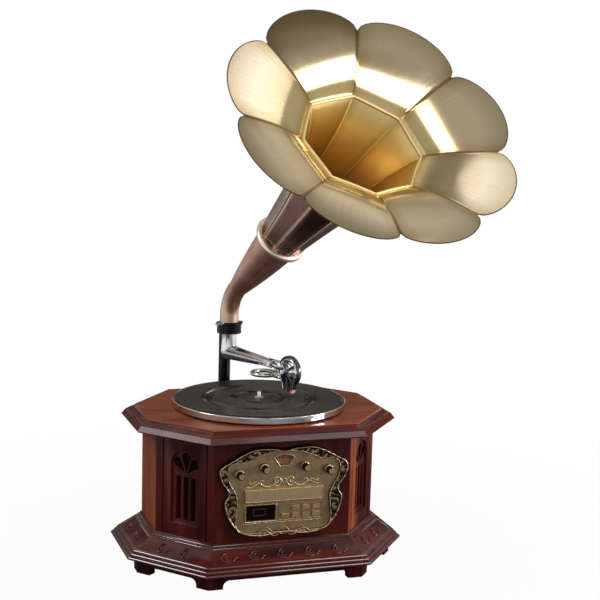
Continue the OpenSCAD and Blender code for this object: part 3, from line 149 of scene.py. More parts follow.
def addObject(name, mesh, materials, sharp):
    # smooth, but for edges where two faces meet at more than the sharp angle
    for material in materials:
        mesh.materials.append(material)
    mesh.shade_smooth()
    mesh.set_sharp_from_angle(angle=math.radians(sharp))
    made = bpy.data.objects.new(name, mesh)
    bpy.context.scene.collection.objects.link(made)
    return made


def makePiece(name, shape, body, materials, stands=(), sharp=40):
    # a mesh from a shape in mm that rides a body; stands names the nodes it stands for
    points, faceSets = shape
    mesh = bpy.data.meshes.new(name)
    mesh.from_pydata((points * mm).tolist(), [], [face for f in faceSets for face in f.tolist()])
    piece = addObject(name, mesh, materials if isinstance(materials, list) else [materials], sharp)
    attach(piece, body)
    if stands:
        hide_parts(*stands)
    return piece


dressSettings = {"merge": 0.004, "flat": 0.6, "sharp": 35, "segments": 2}


def dressNode(node, body, material, bevel):
    # a merged copy of the CAD node with eased edges stands for it
    first, *others = node.split("_")
    name = first + "".join(word.capitalize() for word in others) + "Piece"
    mesh = nodes[node].data.copy()
    mesh.name = name
    work = bmesh.new()
    work.from_mesh(mesh)
    bmesh.ops.remove_doubles(work, verts=work.verts, dist=dressSettings["merge"] * mm)
    bmesh.ops.dissolve_limit(work, angle_limit=math.radians(dressSettings["flat"]), verts=work.verts,
                             edges=work.edges)
    work.to_mesh(mesh)
    work.free()
    mesh.materials.clear()
    piece = addObject(name, mesh, [material], dressSettings["sharp"])
    if bevel:
        ease = piece.modifiers.new("ease", "BEVEL")
        ease.width = bevel * mm
        ease.segments = dressSettings["segments"]
        ease.limit_method = "ANGLE"
        ease.angle_limit = math.radians(dressSettings["sharp"])
        ease.harden_normals = True
    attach(piece, body)
    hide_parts(node)
    return piece


def paintFaces(piece, material, test, what="center"):
    # a second material on the faces whose middles, or normals, pass the test
    mesh = piece.data
    mesh.materials.append(material)
    value = np.zeros(3 * len(mesh.polygons))
    mesh.polygons.foreach_get(what, value)
    mesh.polygons.foreach_set("material_index", test(value.reshape(-1, 3)).astype(int))


# Finishes
def tone(red, green, blue):
    # screen colour from 0 to 255 as linear light
    c = np.array([red, green, blue]) / 255
    return (*np.where(c <= 0.04045, c / 12.92, ((c + 0.055) / 1.055) ** 2.4).tolist(), 1.0)


def grey(level):
    return level, level, level, 1.0


def shade(colour, share):
    return *(share * c for c in colour[:3]), 1.0


def addNode(tree, kind, values=(), **settings):
    # values are numbers to set on sockets, or sockets to link to them
    made = tree.nodes.new(kind)
    for key, value in settings.items():
        setattr(made, key, value)
    for key, value in dict(values).items():
        if isinstance(value, bpy.types.NodeSocket):
            tree.links.new(value, made.inputs[key])
        else:
            made.inputs[key].default_value = value
    return made


def newFinish(name, values):
    # a principled material with some of its sockets set
    material = bpy.data.materials.new(name)
    material.use_nodes = True
    tree = material.node_tree
    shader = tree.nodes["Principled BSDF"]
    for key, value in values.items():
        shader.inputs[key].default_value = value
    return material, tree, shader


def objectPlace(tree):
    return addNode(tree, "ShaderNodeTexCoord").outputs["Object"]


def axisOf(tree, vector, axis):
    return addNode(tree, "ShaderNodeSeparateXYZ", {"Vector": vector}).outputs[axis]


def fieldOf(tree, name):
    # a value that the mesh carries at each of its points
    return addNode(tree, "ShaderNodeAttribute", attribute_name=name).outputs["Fac"]


def mapRange(tree, value, start, end, low=0.0, high=1.0):
    # start to end becomes low to high, held at both ends
    return addNode(tree, "ShaderNodeMapRange", {"Value": value, "From Min": start, "From Max": end,
                                                "To Min": low, "To Max": high}).outputs[0]


def maths(tree, operation, *values):
    return addNode(tree, "ShaderNodeMath", dict(enumerate(values)), operation=operation).outputs[0]


def cloudyNoise(tree, scale, detail=4.0, rough=0.6, stretch=(1, 1, 1)):
    # cloudy noise, drawn out along the axes whose stretch is small
    mapped = addNode(tree, "ShaderNodeMapping", {"Vector": objectPlace(tree), "Scale": stretch})
    return addNode(tree, "ShaderNodeTexNoise", {"Vector": mapped.outputs["Vector"], "Scale": scale,
                                                "Detail": detail, "Roughness": rough}).outputs["Fac"]


def ramp(tree, factor, stops):
    # the first two stops are the band's own, the others are put between them
    made = addNode(tree, "ShaderNodeValToRGB", {"Fac": factor})
    band = made.color_ramp
    for k, (place, colour) in enumerate(stops):
        stop = band.elements[k] if k < 2 else band.elements.new(place)
        stop.position = place
        stop.color = colour
    return made.outputs["Color"]


def mixColour(tree, factor, a, b, blend="MIX"):
    # 6, 7 and 2 are the mix node's sockets for colours
    return addNode(tree, "ShaderNodeMix", {0: factor, 6: a, 7: b}, data_type="RGBA",
                   blend_type=blend).outputs[2]


def addBump(tree, shader, height, strength, distance):
    bump = addNode(tree, "ShaderNodeBump", {"Height": height, "Strength": strength, "Distance": distance})
    tree.links.new(bump.outputs["Normal"], shader.inputs["Normal"])


def roughen(tree, shader, noise, rough):
    # a little rougher where the noise is low, a little smoother where it is high
    tree.links.new(mapRange(tree, noise, 0.3, 0.7, 1.2 * rough, 0.85 * rough), shader.inputs["Roughness"])


def vary(tree, shader, noise, dark, light, rough):
    # noise runs from the dark to the light colour, and roughens too
    tree.links.new(ramp(tree, noise, [(0.34, dark), (0.66, light)]), shader.inputs["Base Color"])
    roughen(tree, shader, noise, rough)


def lacquer(name, dark, middle, light, grain, gloss=0.3, coat=0.5, sheen=0.3, coatIor=1.5, paintedLight=None):
    # stained wood under lacquer: broad figure and fine pores, both drawn out along the grain;
    # a last, optional set of paler colours paints light on one part, with the places in x where they begin to
    # turn and have turned
    material, tree, shader = newFinish(name, {"Coat Weight": coat, "Coat Roughness": 0.06,
                                              "Coat IOR": coatIor, "Specular IOR Level": sheen})
    broad = cloudyNoise(tree, 26, 4, 0.6, [1 if k != grain else 0.16 for k in range(3)])
    fine = cloudyNoise(tree, 420, 2, 0.5, [1 if k != grain else 0.025 for k in range(3)])
    roughen(tree, shader, fine, gloss)
    figure = ramp(tree, broad, [(0.3, dark), (0.72, light), (0.5, middle)])
    if paintedLight:
        share = mapRange(tree, axisOf(tree, objectPlace(tree), "X"), paintedLight["from"], paintedLight["to"])
        litFigure = ramp(tree, broad, [(0.3, paintedLight["dark"]), (0.72, paintedLight["light"]),
                                  (0.5, paintedLight["middle"])])
        figure = mixColour(tree, share, litFigure, figure)
    pores = ramp(tree, fine, [(0.35, (0.55, 0.5, 0.5, 1)), (0.62, grey(1.0))])
    tree.links.new(mixColour(tree, 0.7, figure, pores, "MULTIPLY"), shader.inputs["Base Color"])
    addBump(tree, shader, fine, 0.08, 0.0002)
    return material


def metal(name, colour, rough, scale=60, dark=None, bump=0.0):
    # polished or satin metal, clouded by tarnish that also dulls it
    material, tree, shader = newFinish(name, {"Metallic": 1.0})
    noise = cloudyNoise(tree, scale, 5)
    vary(tree, shader, noise, dark or shade(colour, 0.9), colour, rough)
    if bump:
        addBump(tree, shader, noise, bump, 0.0004)
    return material


def plain(name, colour, rough, scale=500, bump=0.05, **more):
    # enamel, plastic, rubber or paper: one colour, mottled and roughened by fine noise
    material, tree, shader = newFinish(name, more)
    noise = cloudyNoise(tree, scale)
    vary(tree, shader, noise, shade(colour, 0.8), colour, rough)
    addBump(tree, shader, noise, bump, 0.0003)
    return material


def woven(name, colour, scale):
    # threads both ways: the product of upright and level waves
    material, tree, shader = newFinish(name, {})
    place = objectPlace(tree)
    across, along = (addNode(tree, "ShaderNodeTexWave", {"Vector": place, "Scale": scale},
                             bands_direction=way).outputs["Fac"] for way in "XZ")
    threads = maths(tree, "MULTIPLY", across, along)
    vary(tree, shader, threads, shade(colour, 0.3), colour, 0.9)
    addBump(tree, shader, threads, 0.5, 0.0005)
    return material


woodSettings = {"dark": tone(48, 11, 12), "middle": tone(84, 26, 24), "light": tone(112, 40, 32)}
topSettings = {"dark": tone(114, 46, 22), "middle": tone(150, 68, 33), "light": tone(174, 87, 45)}
# paler wood colours: painted light on the side panels and on the left part of the right grille
litStileSettings = {"dark": tone(122, 52, 32), "middle": tone(164, 80, 50), "light": tone(186, 102, 66)}
uprightWood = lacquer("mahogany_upright", grain=2, coat=0.15, sheen=0.2, **woodSettings)
levelWood = lacquer("mahogany_level", grain=0, coat=0.45, sheen=0.25, **woodSettings)
beadWood = lacquer("mahogany_bead", grain=0, gloss=0.24, coat=1.0, coatIor=1.75, sheen=0.2, **woodSettings)
topWood = lacquer("mahogany_top", grain=0, coat=0.3, **topSettings)
lipWood = lacquer("mahogany_lip", grain=0, coat=0.25, sheen=0.2, **woodSettings)
# side panels painted paler, as lit; the right grille painted paler on its left part, as lit
litCornerWood = lacquer("mahogany_corner_painted_lit", grain=2, coat=0.1, sheen=0.15, **litStileSettings)
partLitGrilleWood = lacquer("mahogany_grille_painted_lit", grain=2, coat=0.1, sheen=0.15, **woodSettings,
                     paintedLight={"from": 0.134, "to": 0.152, **litStileSettings})
bronze = metal("antique_bronze", tone(192, 166, 132), 0.42, 90, tone(164, 138, 108), 0.2)
# darker bronze for the knob sides: painted shade
knobShadeBronze = metal("knob_painted_shade_bronze", tone(58, 46, 36), 0.5, 90, tone(38, 30, 24), 0.2)
knobBronze = metal("knob_bronze", tone(222, 192, 154), 0.4, 160, tone(186, 156, 122), 0.15)
brightBronze = metal("bright_bronze", tone(236, 212, 172), 0.28, 200, tone(204, 178, 140))
buttonBronze = metal("button_bronze", tone(236, 212, 172), 0.36, 160, tone(210, 184, 146), 0.1)
barBronze = metal("bar_bronze", tone(232, 208, 168), 0.4, 90, tone(206, 180, 142), 0.15)
chrome = metal("chrome", tone(226, 225, 226), 0.06, 40, tone(214, 213, 215))
armChrome = metal("arm_chrome", tone(186, 182, 188), 0.2, 40, tone(166, 162, 168))
darkChrome = metal("dark_chrome", tone(112, 113, 126), 0.12, 80, tone(92, 92, 104))
steel = metal("zinc_steel", tone(170, 172, 176), 0.35, 120, tone(146, 150, 156), 0.1)
brassPlain = metal("bearing_brass", tone(200, 165, 90), 0.3, 120, tone(176, 142, 74), 0.05)
rose = metal("rose_copper", tone(255, 241, 224), 0.36, 40, tone(250, 226, 206))
enamel = plain("black_enamel", tone(7, 6, 7), 0.14, 260, 0.04, **{"Specular IOR Level": 0.18})
blackPlastic = plain("black_plastic", tone(22, 22, 23), 0.45, 900, 0.15)
whitePlastic = plain("white_plastic", tone(236, 232, 226), 0.4, 400, 0.03)
redFaint = plain("display_red", tone(112, 48, 52), 0.5)
redPlastic = plain("red_plastic", tone(196, 28, 22), 0.35, 400, 0.03)
rubber = plain("belt_rubber", tone(24, 24, 24), 0.75, 900, 0.2)
cloth = woven("grille_cloth", tone(16, 13, 12), 260)
paper = plain("speaker_paper", tone(30, 29, 29), 0.85, 300, 0.3)
board = plain("circuit_board", tone(26, 76, 44), 0.5, 200, 0.1)
cardPaper = plain("dial_card", tone(244, 172, 112), 0.7, 120, 0.05)
glassClear = plain("dial_glass", tone(235, 225, 205), 0.05, 60, 0.0,
                   **{"Transmission Weight": 0.92, "IOR": 1.2})
glassDark = plain("display_glass", tone(14, 7, 8), 0.12, 60, 0.0, **{"Specular IOR Level": 0.2})
print("finishes mixed")


# Horn: brass inside, copper outside; sizes in mm and degrees, in the horn's own upright plane
hornSettings = {
    "axis": (-8, 170), "heading": 20.7, "neckZ": 376.2, "flange": 3, "rise": 14, "neckR": 17.25,
    "bendR": 70, "bend": 50, "coneLen": 157, "coneR": 39.5, "swell": 2, "wall": 1.5,
    "riseRows": 8, "bendRows": 25, "coneRows": 32, "columns": 72,
}
bellSettings = {
    "mouth": (374.7, 0, 754), "tilt": 44, "turn": 13.8, "rootR": 38.5, "flareR": 107, "flareDepth": 46,
    "notchR": 218, "tipR": 249, "tipForward": 12, "phase": 35.5, "spread": 5.5, "spreadAt": 102,
    "wall": 1.0, "start": 0.5, "petals": 8, "stemRows": 44, "flareRows": 44, "columns": 26, "lessFull": 0.42,
    "stemPulls": ((0.3, 1.3), (0.8, 0.64)), "seamPulls": ((0.32, 0.11), (0.12, 0.5)),
    "tipPull": (0.16, 0.39),
}


def turned(points, heading, axis):
    # from the arm's or the horn's own upright plane to the room
    turn = math.radians(heading - 90)
    x, y, z = np.moveaxis(np.asarray(points, float), -1, 0)
    return np.stack([math.cos(turn) * x - math.sin(turn) * y + axis[0],
                     math.sin(turn) * x + math.cos(turn) * y + axis[1], z], -1)


def atHorn(points):
    # from the horn's plane to the room
    return turned(points, hornSettings["heading"], hornSettings["axis"])


h = hornSettings
bendZ = h["neckZ"] + h["flange"] + h["rise"]
bendAngle = math.radians(h["bend"])
coneStart = np.array([h["bendR"] * (1 - math.cos(bendAngle)), 0, bendZ + h["bendR"] * math.sin(bendAngle)])
rootWay = np.array([math.sin(bendAngle), 0, math.cos(bendAngle)])
ringCentre = coneStart + h["coneLen"] * rootWay


def bezier(control, t):
    # a cubic curve through the first and last of four points
    t = np.asarray(t, float)[..., None]
    a, b, c, d = np.asarray(control, float)
    return (1 - t) ** 3 * a + 3 * (1 - t) ** 2 * t * b + 3 * (1 - t) * t ** 2 * c + t ** 3 * d


def bezierWay(control, t):
    # the direction along that curve
    t = np.asarray(t, float)[..., None]
    a, b, c, d = np.asarray(control, float)
    return unit((1 - t) ** 2 * (b - a) + 2 * (1 - t) * t * (c - b) + t ** 2 * (d - c))


def bellLines(b):
    # seam and petal middle as [distance along the axis, radius], in a stem and a flare;
    # the pulls set each curve's two inner points as shares of its depth and of its widening
    axisLen = np.linalg.norm(np.array(b["mouth"]) - ringCentre)
    depth, rootR, flareR = b["flareDepth"], b["rootR"], b["flareR"]
    flareX = axisLen - depth
    flat = math.cos(math.pi / b["petals"])
    (nearX, nearR), (farX, farR) = b["stemPulls"]
    seamStem = np.array([[b["start"], rootR], [nearX * flareX, nearR * rootR],
                         [farX * flareX, farR * flareR], [flareX, flareR]])
    toNotch, toTip = b["notchR"] - flareR, b["tipR"] - flareR
    (nearX, nearR), (farX, farR) = b["seamPulls"]
    seamFlare = np.array([[flareX, flareR], [flareX + nearX * depth, flareR + nearR * toNotch],
                          [axisLen - farX * depth, flareR + farR * toNotch], [axisLen, b["notchR"]]])
    midStem = seamStem * [1, flat]
    farX, farR = b["tipPull"]
    midFlare = np.array([midStem[3], seamFlare[1] * [1, flat],
                         [axisLen - farX * depth, flareR + farR * toTip],
                         [axisLen + b["tipForward"], b["tipR"]]])
    return axisLen, seamStem, seamFlare, midStem, midFlare


def bellSheet(b, offset):
    # each ring blends from seam to petal middle by one minus the square of the place across the petal
    axisLen, seamStem, seamFlare, midStem, midFlare = bellLines(b)
    stemT = np.linspace(0, 1, b["stemRows"], endpoint=False)
    flareT = np.linspace(0, 1, b["flareRows"] + 1)

    def line(stem, flare):
        points = np.concatenate([bezier(stem, stemT), bezier(flare, flareT)])
        way = np.concatenate([bezierWay(stem, stemT), bezierWay(flare, flareT)])
        return points + offset * np.stack([-way[:, 1], way[:, 0]], -1)

    seam, middle = line(seamStem, seamFlare)[:, None], line(midStem, midFlare)[:, None]
    side = np.arange(b["petals"] * b["columns"])
    across = 2 * (side % b["columns"]) / b["columns"] - 1
    power = np.concatenate([np.ones(len(stemT)), 1 - b["lessFull"] * flareT])[:, None]
    full = (1 - across ** 2)[None] ** power
    p = seam + (middle - seam) * full[..., None]
    # a petal is bent one way only: its depth follows the reach along its middle line
    flare = slice(len(stemT), None)
    reach = p[flare, :, 1] * np.cos(across * np.pi / b["petals"])
    p[flare, :, 0] = np.interp(reach, middle[flare, 0, 1], middle[flare, 0, 0])
    # the axis is a curve from the neck's way to the mouth's way
    u = np.minimum(p[..., 0], axisLen) / axisLen
    tilt, turn = math.radians(b["tilt"]), math.radians(b["turn"])
    mouthWay = np.array([math.cos(tilt) * math.cos(turn), -math.cos(tilt) * math.sin(turn), math.sin(tilt)])
    mouth = np.array(b["mouth"], float)
    third = axisLen / 3
    centre = bezier([ringCentre, ringCentre + third * rootWay, mouth - third * mouthWay, mouth], u)
    way = unit(rootWay + (mouthWay - rootWay) * u[..., None])
    sideways = unit(np.stack([-way[..., 1], way[..., 0], 0 * u], -1))
    over = np.cross(way, sideways)
    angle = math.radians(b["phase"]) + 2 * np.pi * side / len(side)
    angle = angle + math.radians(b["spread"]) * np.sin(angle - math.radians(b["spreadAt"]))
    angle = angle[None, :, None]
    beyond = np.maximum(0, p[..., :1] - axisLen)
    return centre + way * beyond + p[..., 1:] * (np.cos(angle) * sideways + np.sin(angle) * over)


def hornBrass(name):
    # gold in the throat, darker deep down as painted shade, paler towards the tips as painted highlight; dark
    # seam lines in the flare with painted shade beside them, and painted shade at the petal edges
    material, tree, shader = newFinish(name, {"Metallic": 1.0, "Anisotropic": 0.5})
    tangent = addNode(tree, "ShaderNodeTangent", direction_type="UV_MAP", uv_map="petals")
    tree.links.new(tangent.outputs["Tangent"], shader.inputs["Tangent"])
    along, seam = fieldOf(tree, "along"), fieldOf(tree, "seam")
    # darker deep in the throat: painted shade; paler at the tips: painted highlight
    depth = ramp(tree, along, [(0.0, tone(150, 112, 92)), (1.0, tone(232, 223, 208)),
                               (0.2, tone(213, 182, 132)), (0.46, tone(231, 203, 138)),
                               (0.53, tone(228, 206, 154)), (0.78, tone(230, 211, 174))])
    # a dark joint line at each seam, and painted shade on the borders beside it
    line = ramp(tree, seam, [(0.62, grey(1.0)), (1.0, (0.34, 0.26, 0.2, 1)), (0.95, (0.82, 0.77, 0.64, 1))])
    depth = mixColour(tree, 1.0, depth, line, "MULTIPLY")
    # the petal edges darkened: painted shade
    rim = ramp(tree, along, [(0.9, grey(1.0)), (1.0, (0.66, 0.6, 0.46, 1))])
    depth = mixColour(tree, 1.0, depth, rim, "MULTIPLY")
    brushed = addNode(tree, "ShaderNodeUVMap", uv_map="petals").outputs["UV"]
    lines = addNode(tree, "ShaderNodeMapping", {"Vector": brushed, "Scale": (1.0, 0.012, 1.0)})
    noise = addNode(tree, "ShaderNodeTexNoise", {"Vector": lines.outputs["Vector"], "Scale": 520,
                                                 "Detail": 3}).outputs["Fac"]
    # the brushing fades out towards the throat
    fade = ramp(tree, along, [(0.5, grey(0.0)), (0.68, grey(1.0))])
    addBump(tree, shader, noise, ramp(tree, along, [(0.5, grey(0.0)), (0.68, grey(0.06))]), 0.0003)
    streak = ramp(tree, noise, [(0.32, grey(0.93)), (0.62, grey(1.0))])
    tree.links.new(mixColour(tree, fade, depth, mixColour(tree, 1.0, depth, streak, "MULTIPLY")),
                   shader.inputs["Base Color"])
    throat = ramp(tree, along, [(0.5, grey(0.36)), (0.58, grey(0.12))])
    dull = ramp(tree, noise, [(0.3, grey(1.15)), (0.7, grey(0.75))])
    tree.links.new(mixColour(tree, fade, throat, mixColour(tree, 1.0, throat, dull, "MULTIPLY")),
                   shader.inputs["Roughness"])
    return material


def neckFinish(name, start, end):
    # paler and glossier at the foot, its paler colour a painted highlight; dull red brown patina above the
    # bend, both clouded by noise
    material, tree, shader = newFinish(name, {"Metallic": 1.0, "Coat Weight": 0.4, "Coat Roughness": 0.3})
    height = axisOf(tree, objectPlace(tree), "Z")
    noise = cloudyNoise(tree, 14, 5)
    # the paler foot colour is a painted highlight
    foot = ramp(tree, noise, [(0.34, tone(180, 150, 128)), (0.66, tone(222, 194, 166))])
    patina = ramp(tree, noise, [(0.34, tone(170, 128, 114)), (0.66, tone(206, 162, 146))])
    tree.links.new(mixColour(tree, mapRange(tree, height, start, end), foot, patina),
                   shader.inputs["Base Color"])
    tree.links.new(mapRange(tree, height, start, end, 0.3, 0.48), shader.inputs["Roughness"])
    return material


def stemFinish(name, highlightFrom, highlightTo):
    # dark patina on the flats, and painted highlight in strips along the soldered seams
    material, tree, shader = newFinish(name, {"Metallic": 0.88, "Roughness": 0.26, "Coat Weight": 0.5,
                                              "Coat Roughness": 0.15})
    cloud = ramp(tree, cloudyNoise(tree, 14, 5), [(0.35, tone(104, 74, 66)), (0.65, tone(146, 104, 90))])
    # the pale strips beside the seams are a painted highlight
    strip = mapRange(tree, fieldOf(tree, "aside"), highlightFrom, highlightTo)
    tree.links.new(mixColour(tree, strip, cloud, tone(198, 168, 154)), shader.inputs["Base Color"])
    return material


brassInside = hornBrass("satin_brass")
copperOutside = neckFinish("dark_copper", 0.4, 0.44)
stemCopper = stemFinish("stem_copper", 7.0, 4.5)
beadBrass = metal("bead_brass", tone(238, 216, 164), 0.42)
ridgeBrass = metal("ridge_brass", tone(250, 220, 150), 0.42)
copperEdge = metal("copper_edge", tone(96, 70, 58), 0.35)
seamCopper = metal("seam_copper", tone(214, 178, 162), 0.34, 120, tone(180, 144, 130))

inner, outer = bellSheet(bellSettings, 0), bellSheet(bellSettings, bellSettings["wall"])
bellRows, bellCols = inner.shape[:2]
petalCols = bellSettings["columns"]
bell = makePiece("hornBell", gridShape(atHorn(np.concatenate([inner, outer[::-1]])), wrapRows=True), "horn",
                 [brassInside, stemCopper, copperEdge], ["horn_bell"], 30)
# rows of faces run up the inside, over the edge and down the outside
faceRow = np.arange(len(bell.data.polygons)) // bellCols
coat = np.where(faceRow < bellRows - 1, 0, 1)
coat[faceRow == bellRows - 1] = 2
bell.data.polygons.foreach_set("material_index", coat)
# place along the bell, place across each petal, and the distance in mm from the nearest seam
column = np.arange(bellCols)
nearest = np.round(column / petalCols).astype(int) * petalCols % bellCols
bellFields = {
    "along": np.repeat(np.linspace(0, 1, bellRows)[:, None], bellCols, 1),
    "seam": np.tile(np.abs(2 * (column % petalCols) / petalCols - 1), (bellRows, 1)),
    "aside": np.linalg.norm(inner - inner[:, nearest], axis=-1),
}
for name, value in bellFields.items():
    field = bell.data.attributes.new(name, "FLOAT", "POINT")
    field.data.foreach_set("value", np.concatenate([value, value[::-1]]).ravel())
petalMap = bell.data.uv_layers.new(name="petals")
corner = np.zeros(len(bell.data.loops), int)
bell.data.loops.foreach_get("vertex_index", corner)
turn = (corner % bellCols) / bellCols
lastColumn = np.repeat(np.arange(len(bell.data.polygons)) % bellCols == bellCols - 1, 4)
petalMap.data.foreach_set("uv", np.stack([np.where(lastColumn & (turn == 0), 1.0, turn),
                                          (corner // bellCols % bellRows) / bellRows], -1).ravel())

# Beads and seams of the bell; the bead stays within the sheet's outer face
seamSettings = {"beadIn": 1.9, "bead": 2.8, "ridge": (0.9, 1.8), "strip": (1.2, 2.4), "edge": 1.0,
                "off": (0.1, 0.3, 0)}
creaseRow = bellSettings["stemRows"]
axisWay = unit(np.array(bellSettings["mouth"]) - ringCentre)


def seamRods(sheet, thick):
    # a round rod along each seam, from the first thickness to the second
    return merge([tube(sheet[:, k], np.linspace(*thick, len(sheet)), axisWay + seamSettings["off"], 8)
                  for k in range(0, bellCols, petalCols)])


crease = inner[creaseRow] + seamSettings["beadIn"] * unit(inner[creaseRow] - outer[creaseRow])
bead = tube(crease, seamSettings["bead"], axisWay, 12, True)
makePiece("throatBead", moved(bead, atHorn), "horn", beadBrass)
makePiece("throatRidges", moved(seamRods(inner[:creaseRow], seamSettings["ridge"]), atHorn), "horn",
          ridgeBrass)
makePiece("stemSeams", moved(seamRods(outer[1:creaseRow + 1], seamSettings["strip"]), atHorn), "horn",
          seamCopper)
edge = tube((inner[-1] + outer[-1]) / 2, seamSettings["edge"], axisWay, 8, True)
makePiece("petalEdge", moved(edge, atHorn), "horn", copperEdge)

# Neck: upright, then an even bend, then a slightly swelling cone; each ring square to the path
riseZ = np.linspace(h["neckZ"], bendZ, h["riseRows"], endpoint=False)
bendT = np.linspace(0, 1, h["bendRows"])
coneT = np.linspace(0, 1, h["coneRows"] + 1)[1:]
neckPath = np.concatenate([
    np.stack([0 * riseZ, 0 * riseZ, riseZ], -1),
    np.stack([h["bendR"] * (1 - np.cos(bendAngle * bendT)), 0 * bendT,
              bendZ + h["bendR"] * np.sin(bendAngle * bendT)], -1),
    coneStart + h["coneLen"] * coneT[:, None] * rootWay])
neckLean = np.concatenate([0 * riseZ, bendAngle * bendT, np.full(len(coneT), bendAngle)])
neckSize = np.concatenate([
    np.full(len(riseZ) + len(bendT), h["neckR"]),
    h["neckR"] + (h["coneR"] - h["neckR"]) * coneT + 4 * h["swell"] * coneT * (1 - coneT)])
neckTurn = np.linspace(0, 2 * np.pi, h["columns"], endpoint=False)[:, None]


def neckWall(inset):
    # rings of the neck's radius less the inset, leaned with the path
    outwards = np.stack([np.cos(neckLean), 0 * neckLean, -np.sin(neckLean)], -1)[:, None]
    r = (neckSize - inset)[:, None, None]
    return neckPath[:, None] + r * (np.cos(neckTurn) * outwards + np.sin(neckTurn) * [0, 1, 0])


neckShape = gridShape(np.concatenate([neckWall(0), neckWall(h["wall"])[::-1]]), wrapRows=True)

# Flange under the neck: a disc whose radius swells into two ears, with a fillet up to the neck
flangeSettings = {"bore": 16.0, "radius": 24, "ears": 5.5, "earWidth": 0.035, "steelFrom": 0.93, "ease": 0.5,
                  "fillet": ((18.2, 0.2), (17.4, 1.4), (16.0, 1.4)), "columns": 144}
s = flangeSettings
around = np.linspace(0, 2 * np.pi, s["columns"], endpoint=False)
ears = s["radius"] + s["ears"] * np.exp(-((np.abs(np.sin(around)) - 1) / s["earWidth"]) ** 2)
foot, top, ease = h["neckZ"], h["neckZ"] + h["flange"], s["ease"]
flangeSection = [(s["bore"], foot), (ears - ease, foot), (ears, foot + ease), (ears, top - ease),
                 (ears - ease, top)]
flangeSection += [(r, top + up) for r, up in s["fillet"]]
flangeRows = np.stack([np.stack([r * np.cos(around), r * np.sin(around), np.full(s["columns"], z)], -1)
                       for r, z in flangeSection])
neck = makePiece("hornNeck", moved(merge([neckShape, gridShape(flangeRows, wrapRows=True)]), atHorn),
                 "horn", [copperOutside, steel, enamel], ["horn_elbow"], 50)
# the flange is black like the collar, but for its two steel ears
flangeFace = np.arange(len(neck.data.polygons)) - len(neckShape[1][0])
coat = np.where(np.abs(np.sin(around[flangeFace % s["columns"]])) > s["steelFrom"], 1, 2)
neck.data.polygons.foreach_set("material_index", np.where(flangeFace < 0, 0, coat))

# Ring over the joint: a round bead with a flat bore and a lip that closes on the stem
ringSettings = {"bore": 39.9, "width": 6.6, "proud": 7.4, "lip": 35.6, "lipTop": 2.2, "lipFoot": 3.4,
                "shoulder": 3.6}
r = ringSettings
swing = np.radians(np.linspace(-89, 89, 29))
ringProfile = np.concatenate([
    [[r["bore"], -r["width"]]],
    np.stack([r["bore"] + r["proud"] * np.cos(swing), r["width"] * np.sin(swing)], -1),
    [[r["bore"], r["width"]], [r["lip"], r["width"] - r["lipTop"]], [r["lip"], r["width"] - r["lipFoot"]],
     [r["bore"], r["width"] - r["shoulder"]]]])


def atRing(points):
    # leaned with the cone and moved to its end
    x, y, z = np.moveaxis(points, -1, 0)
    c, s = math.cos(bendAngle), math.sin(bendAngle)
    return atHorn(np.stack([c * x + s * z, y, c * z - s * x], -1) + ringCentre)


makePiece("hornRing", moved(lathe(ringProfile, 120, True), atRing), "horn", rose, ["horn_ring"])
print("horn done")

# Finishes of the CAD pieces, each with the width of its eased edges in mm
cabinetDress = {
    "top_board": (topWood, 1.3), "front_panel": (uprightWood, 0.6), "left_grille_panel": (uprightWood, 0.5),
    # the right grille and both side panels carry painted light
    "right_grille_panel": (partLitGrilleWood, 0.5), "left_side_panel": (litCornerWood, 0.5),
    "right_side_panel": (litCornerWood, 0.5), "rear_left_panel": (uprightWood, 0.5),
    "rear_right_panel": (uprightWood, 0.5), "back_panel": (uprightWood, 0.5),
    "bracket_feet": (uprightWood, 1.0), "escutcheon": (bronze, 0.6),
    "mains_inlet": (blackPlastic, 0.4), "audio_sockets": (blackPlastic, 0.3),
    "back_bracket": (enamel, 1.0), "bracket_bolts": (steel, 0.6),
}
movingDress = {
    "platter": ("turntable", chrome, 0.5), "spindle": ("turntable", chrome, 0.2),
    "tonearm": ("arm", armChrome, 0.5), "arm_pin": ("arm", chrome, 0.4),
    "gooseneck": ("arm_head", chrome, 0.4), "finger_ring": ("arm_head", chrome, 0.0),
    "stylus": ("arm_head", redPlastic, 0.3), "cd_drawer": ("drawer", barBronze, 0.6),
}
insideDress = {
    "base_board": levelWood, "grille_cloths": cloth, "left_speaker": paper, "right_speaker": paper,
    "dial_glass": glassClear, "dial_card": cardPaper, "display_window": glassDark, "cd_housing": steel,
    "control_pots": steel, "switch_board": board, "amplifier_board": board, "power_transformer": steel,
    "bearing_bush": brassPlain, "motor": steel, "drive_belt": rubber, "motor_pulley": brassPlain,
    "dial_pointer": redPlastic,
}
detailSettings = {"columnFrom": 338, "fatter": 0.4, "knobSide": -0.75, "lipBelow": 259.5,
                  "buttons": 7, "buttonEase": 0.8, "knobEase": 0.5}
pieces = {}
for node, (material, bevel) in cabinetDress.items():
    pieces[node] = dressNode(node, "cabinet", material, bevel)
for k in range(1, detailSettings["buttons"] + 1):
    dressNode(f"button_{k}", f"push_button_{k}", buttonBronze, detailSettings["buttonEase"])
for node, (body, material, bevel) in movingDress.items():
    pieces[node] = dressNode(node, body, material, bevel)
for knob in ("volume", "tone", "tuning", "band"):
    # bright face; the sides are darker bronze as painted shade
    piece = dressNode(f"knob_{knob}", f"{knob}_knob", knobBronze, detailSettings["knobEase"])
    paintFaces(piece, knobShadeBronze, lambda normal: normal[:, 1] > detailSettings["knobSide"], "normal")
# the arm's upright column is polished, the arm itself is satin; only the flat of the top board is light
paintFaces(pieces["tonearm"], chrome, lambda middle: middle[:, 2] > detailSettings["columnFrom"] * mm)
paintFaces(pieces["top_board"], lipWood, lambda middle: middle[:, 2] < detailSettings["lipBelow"] * mm)
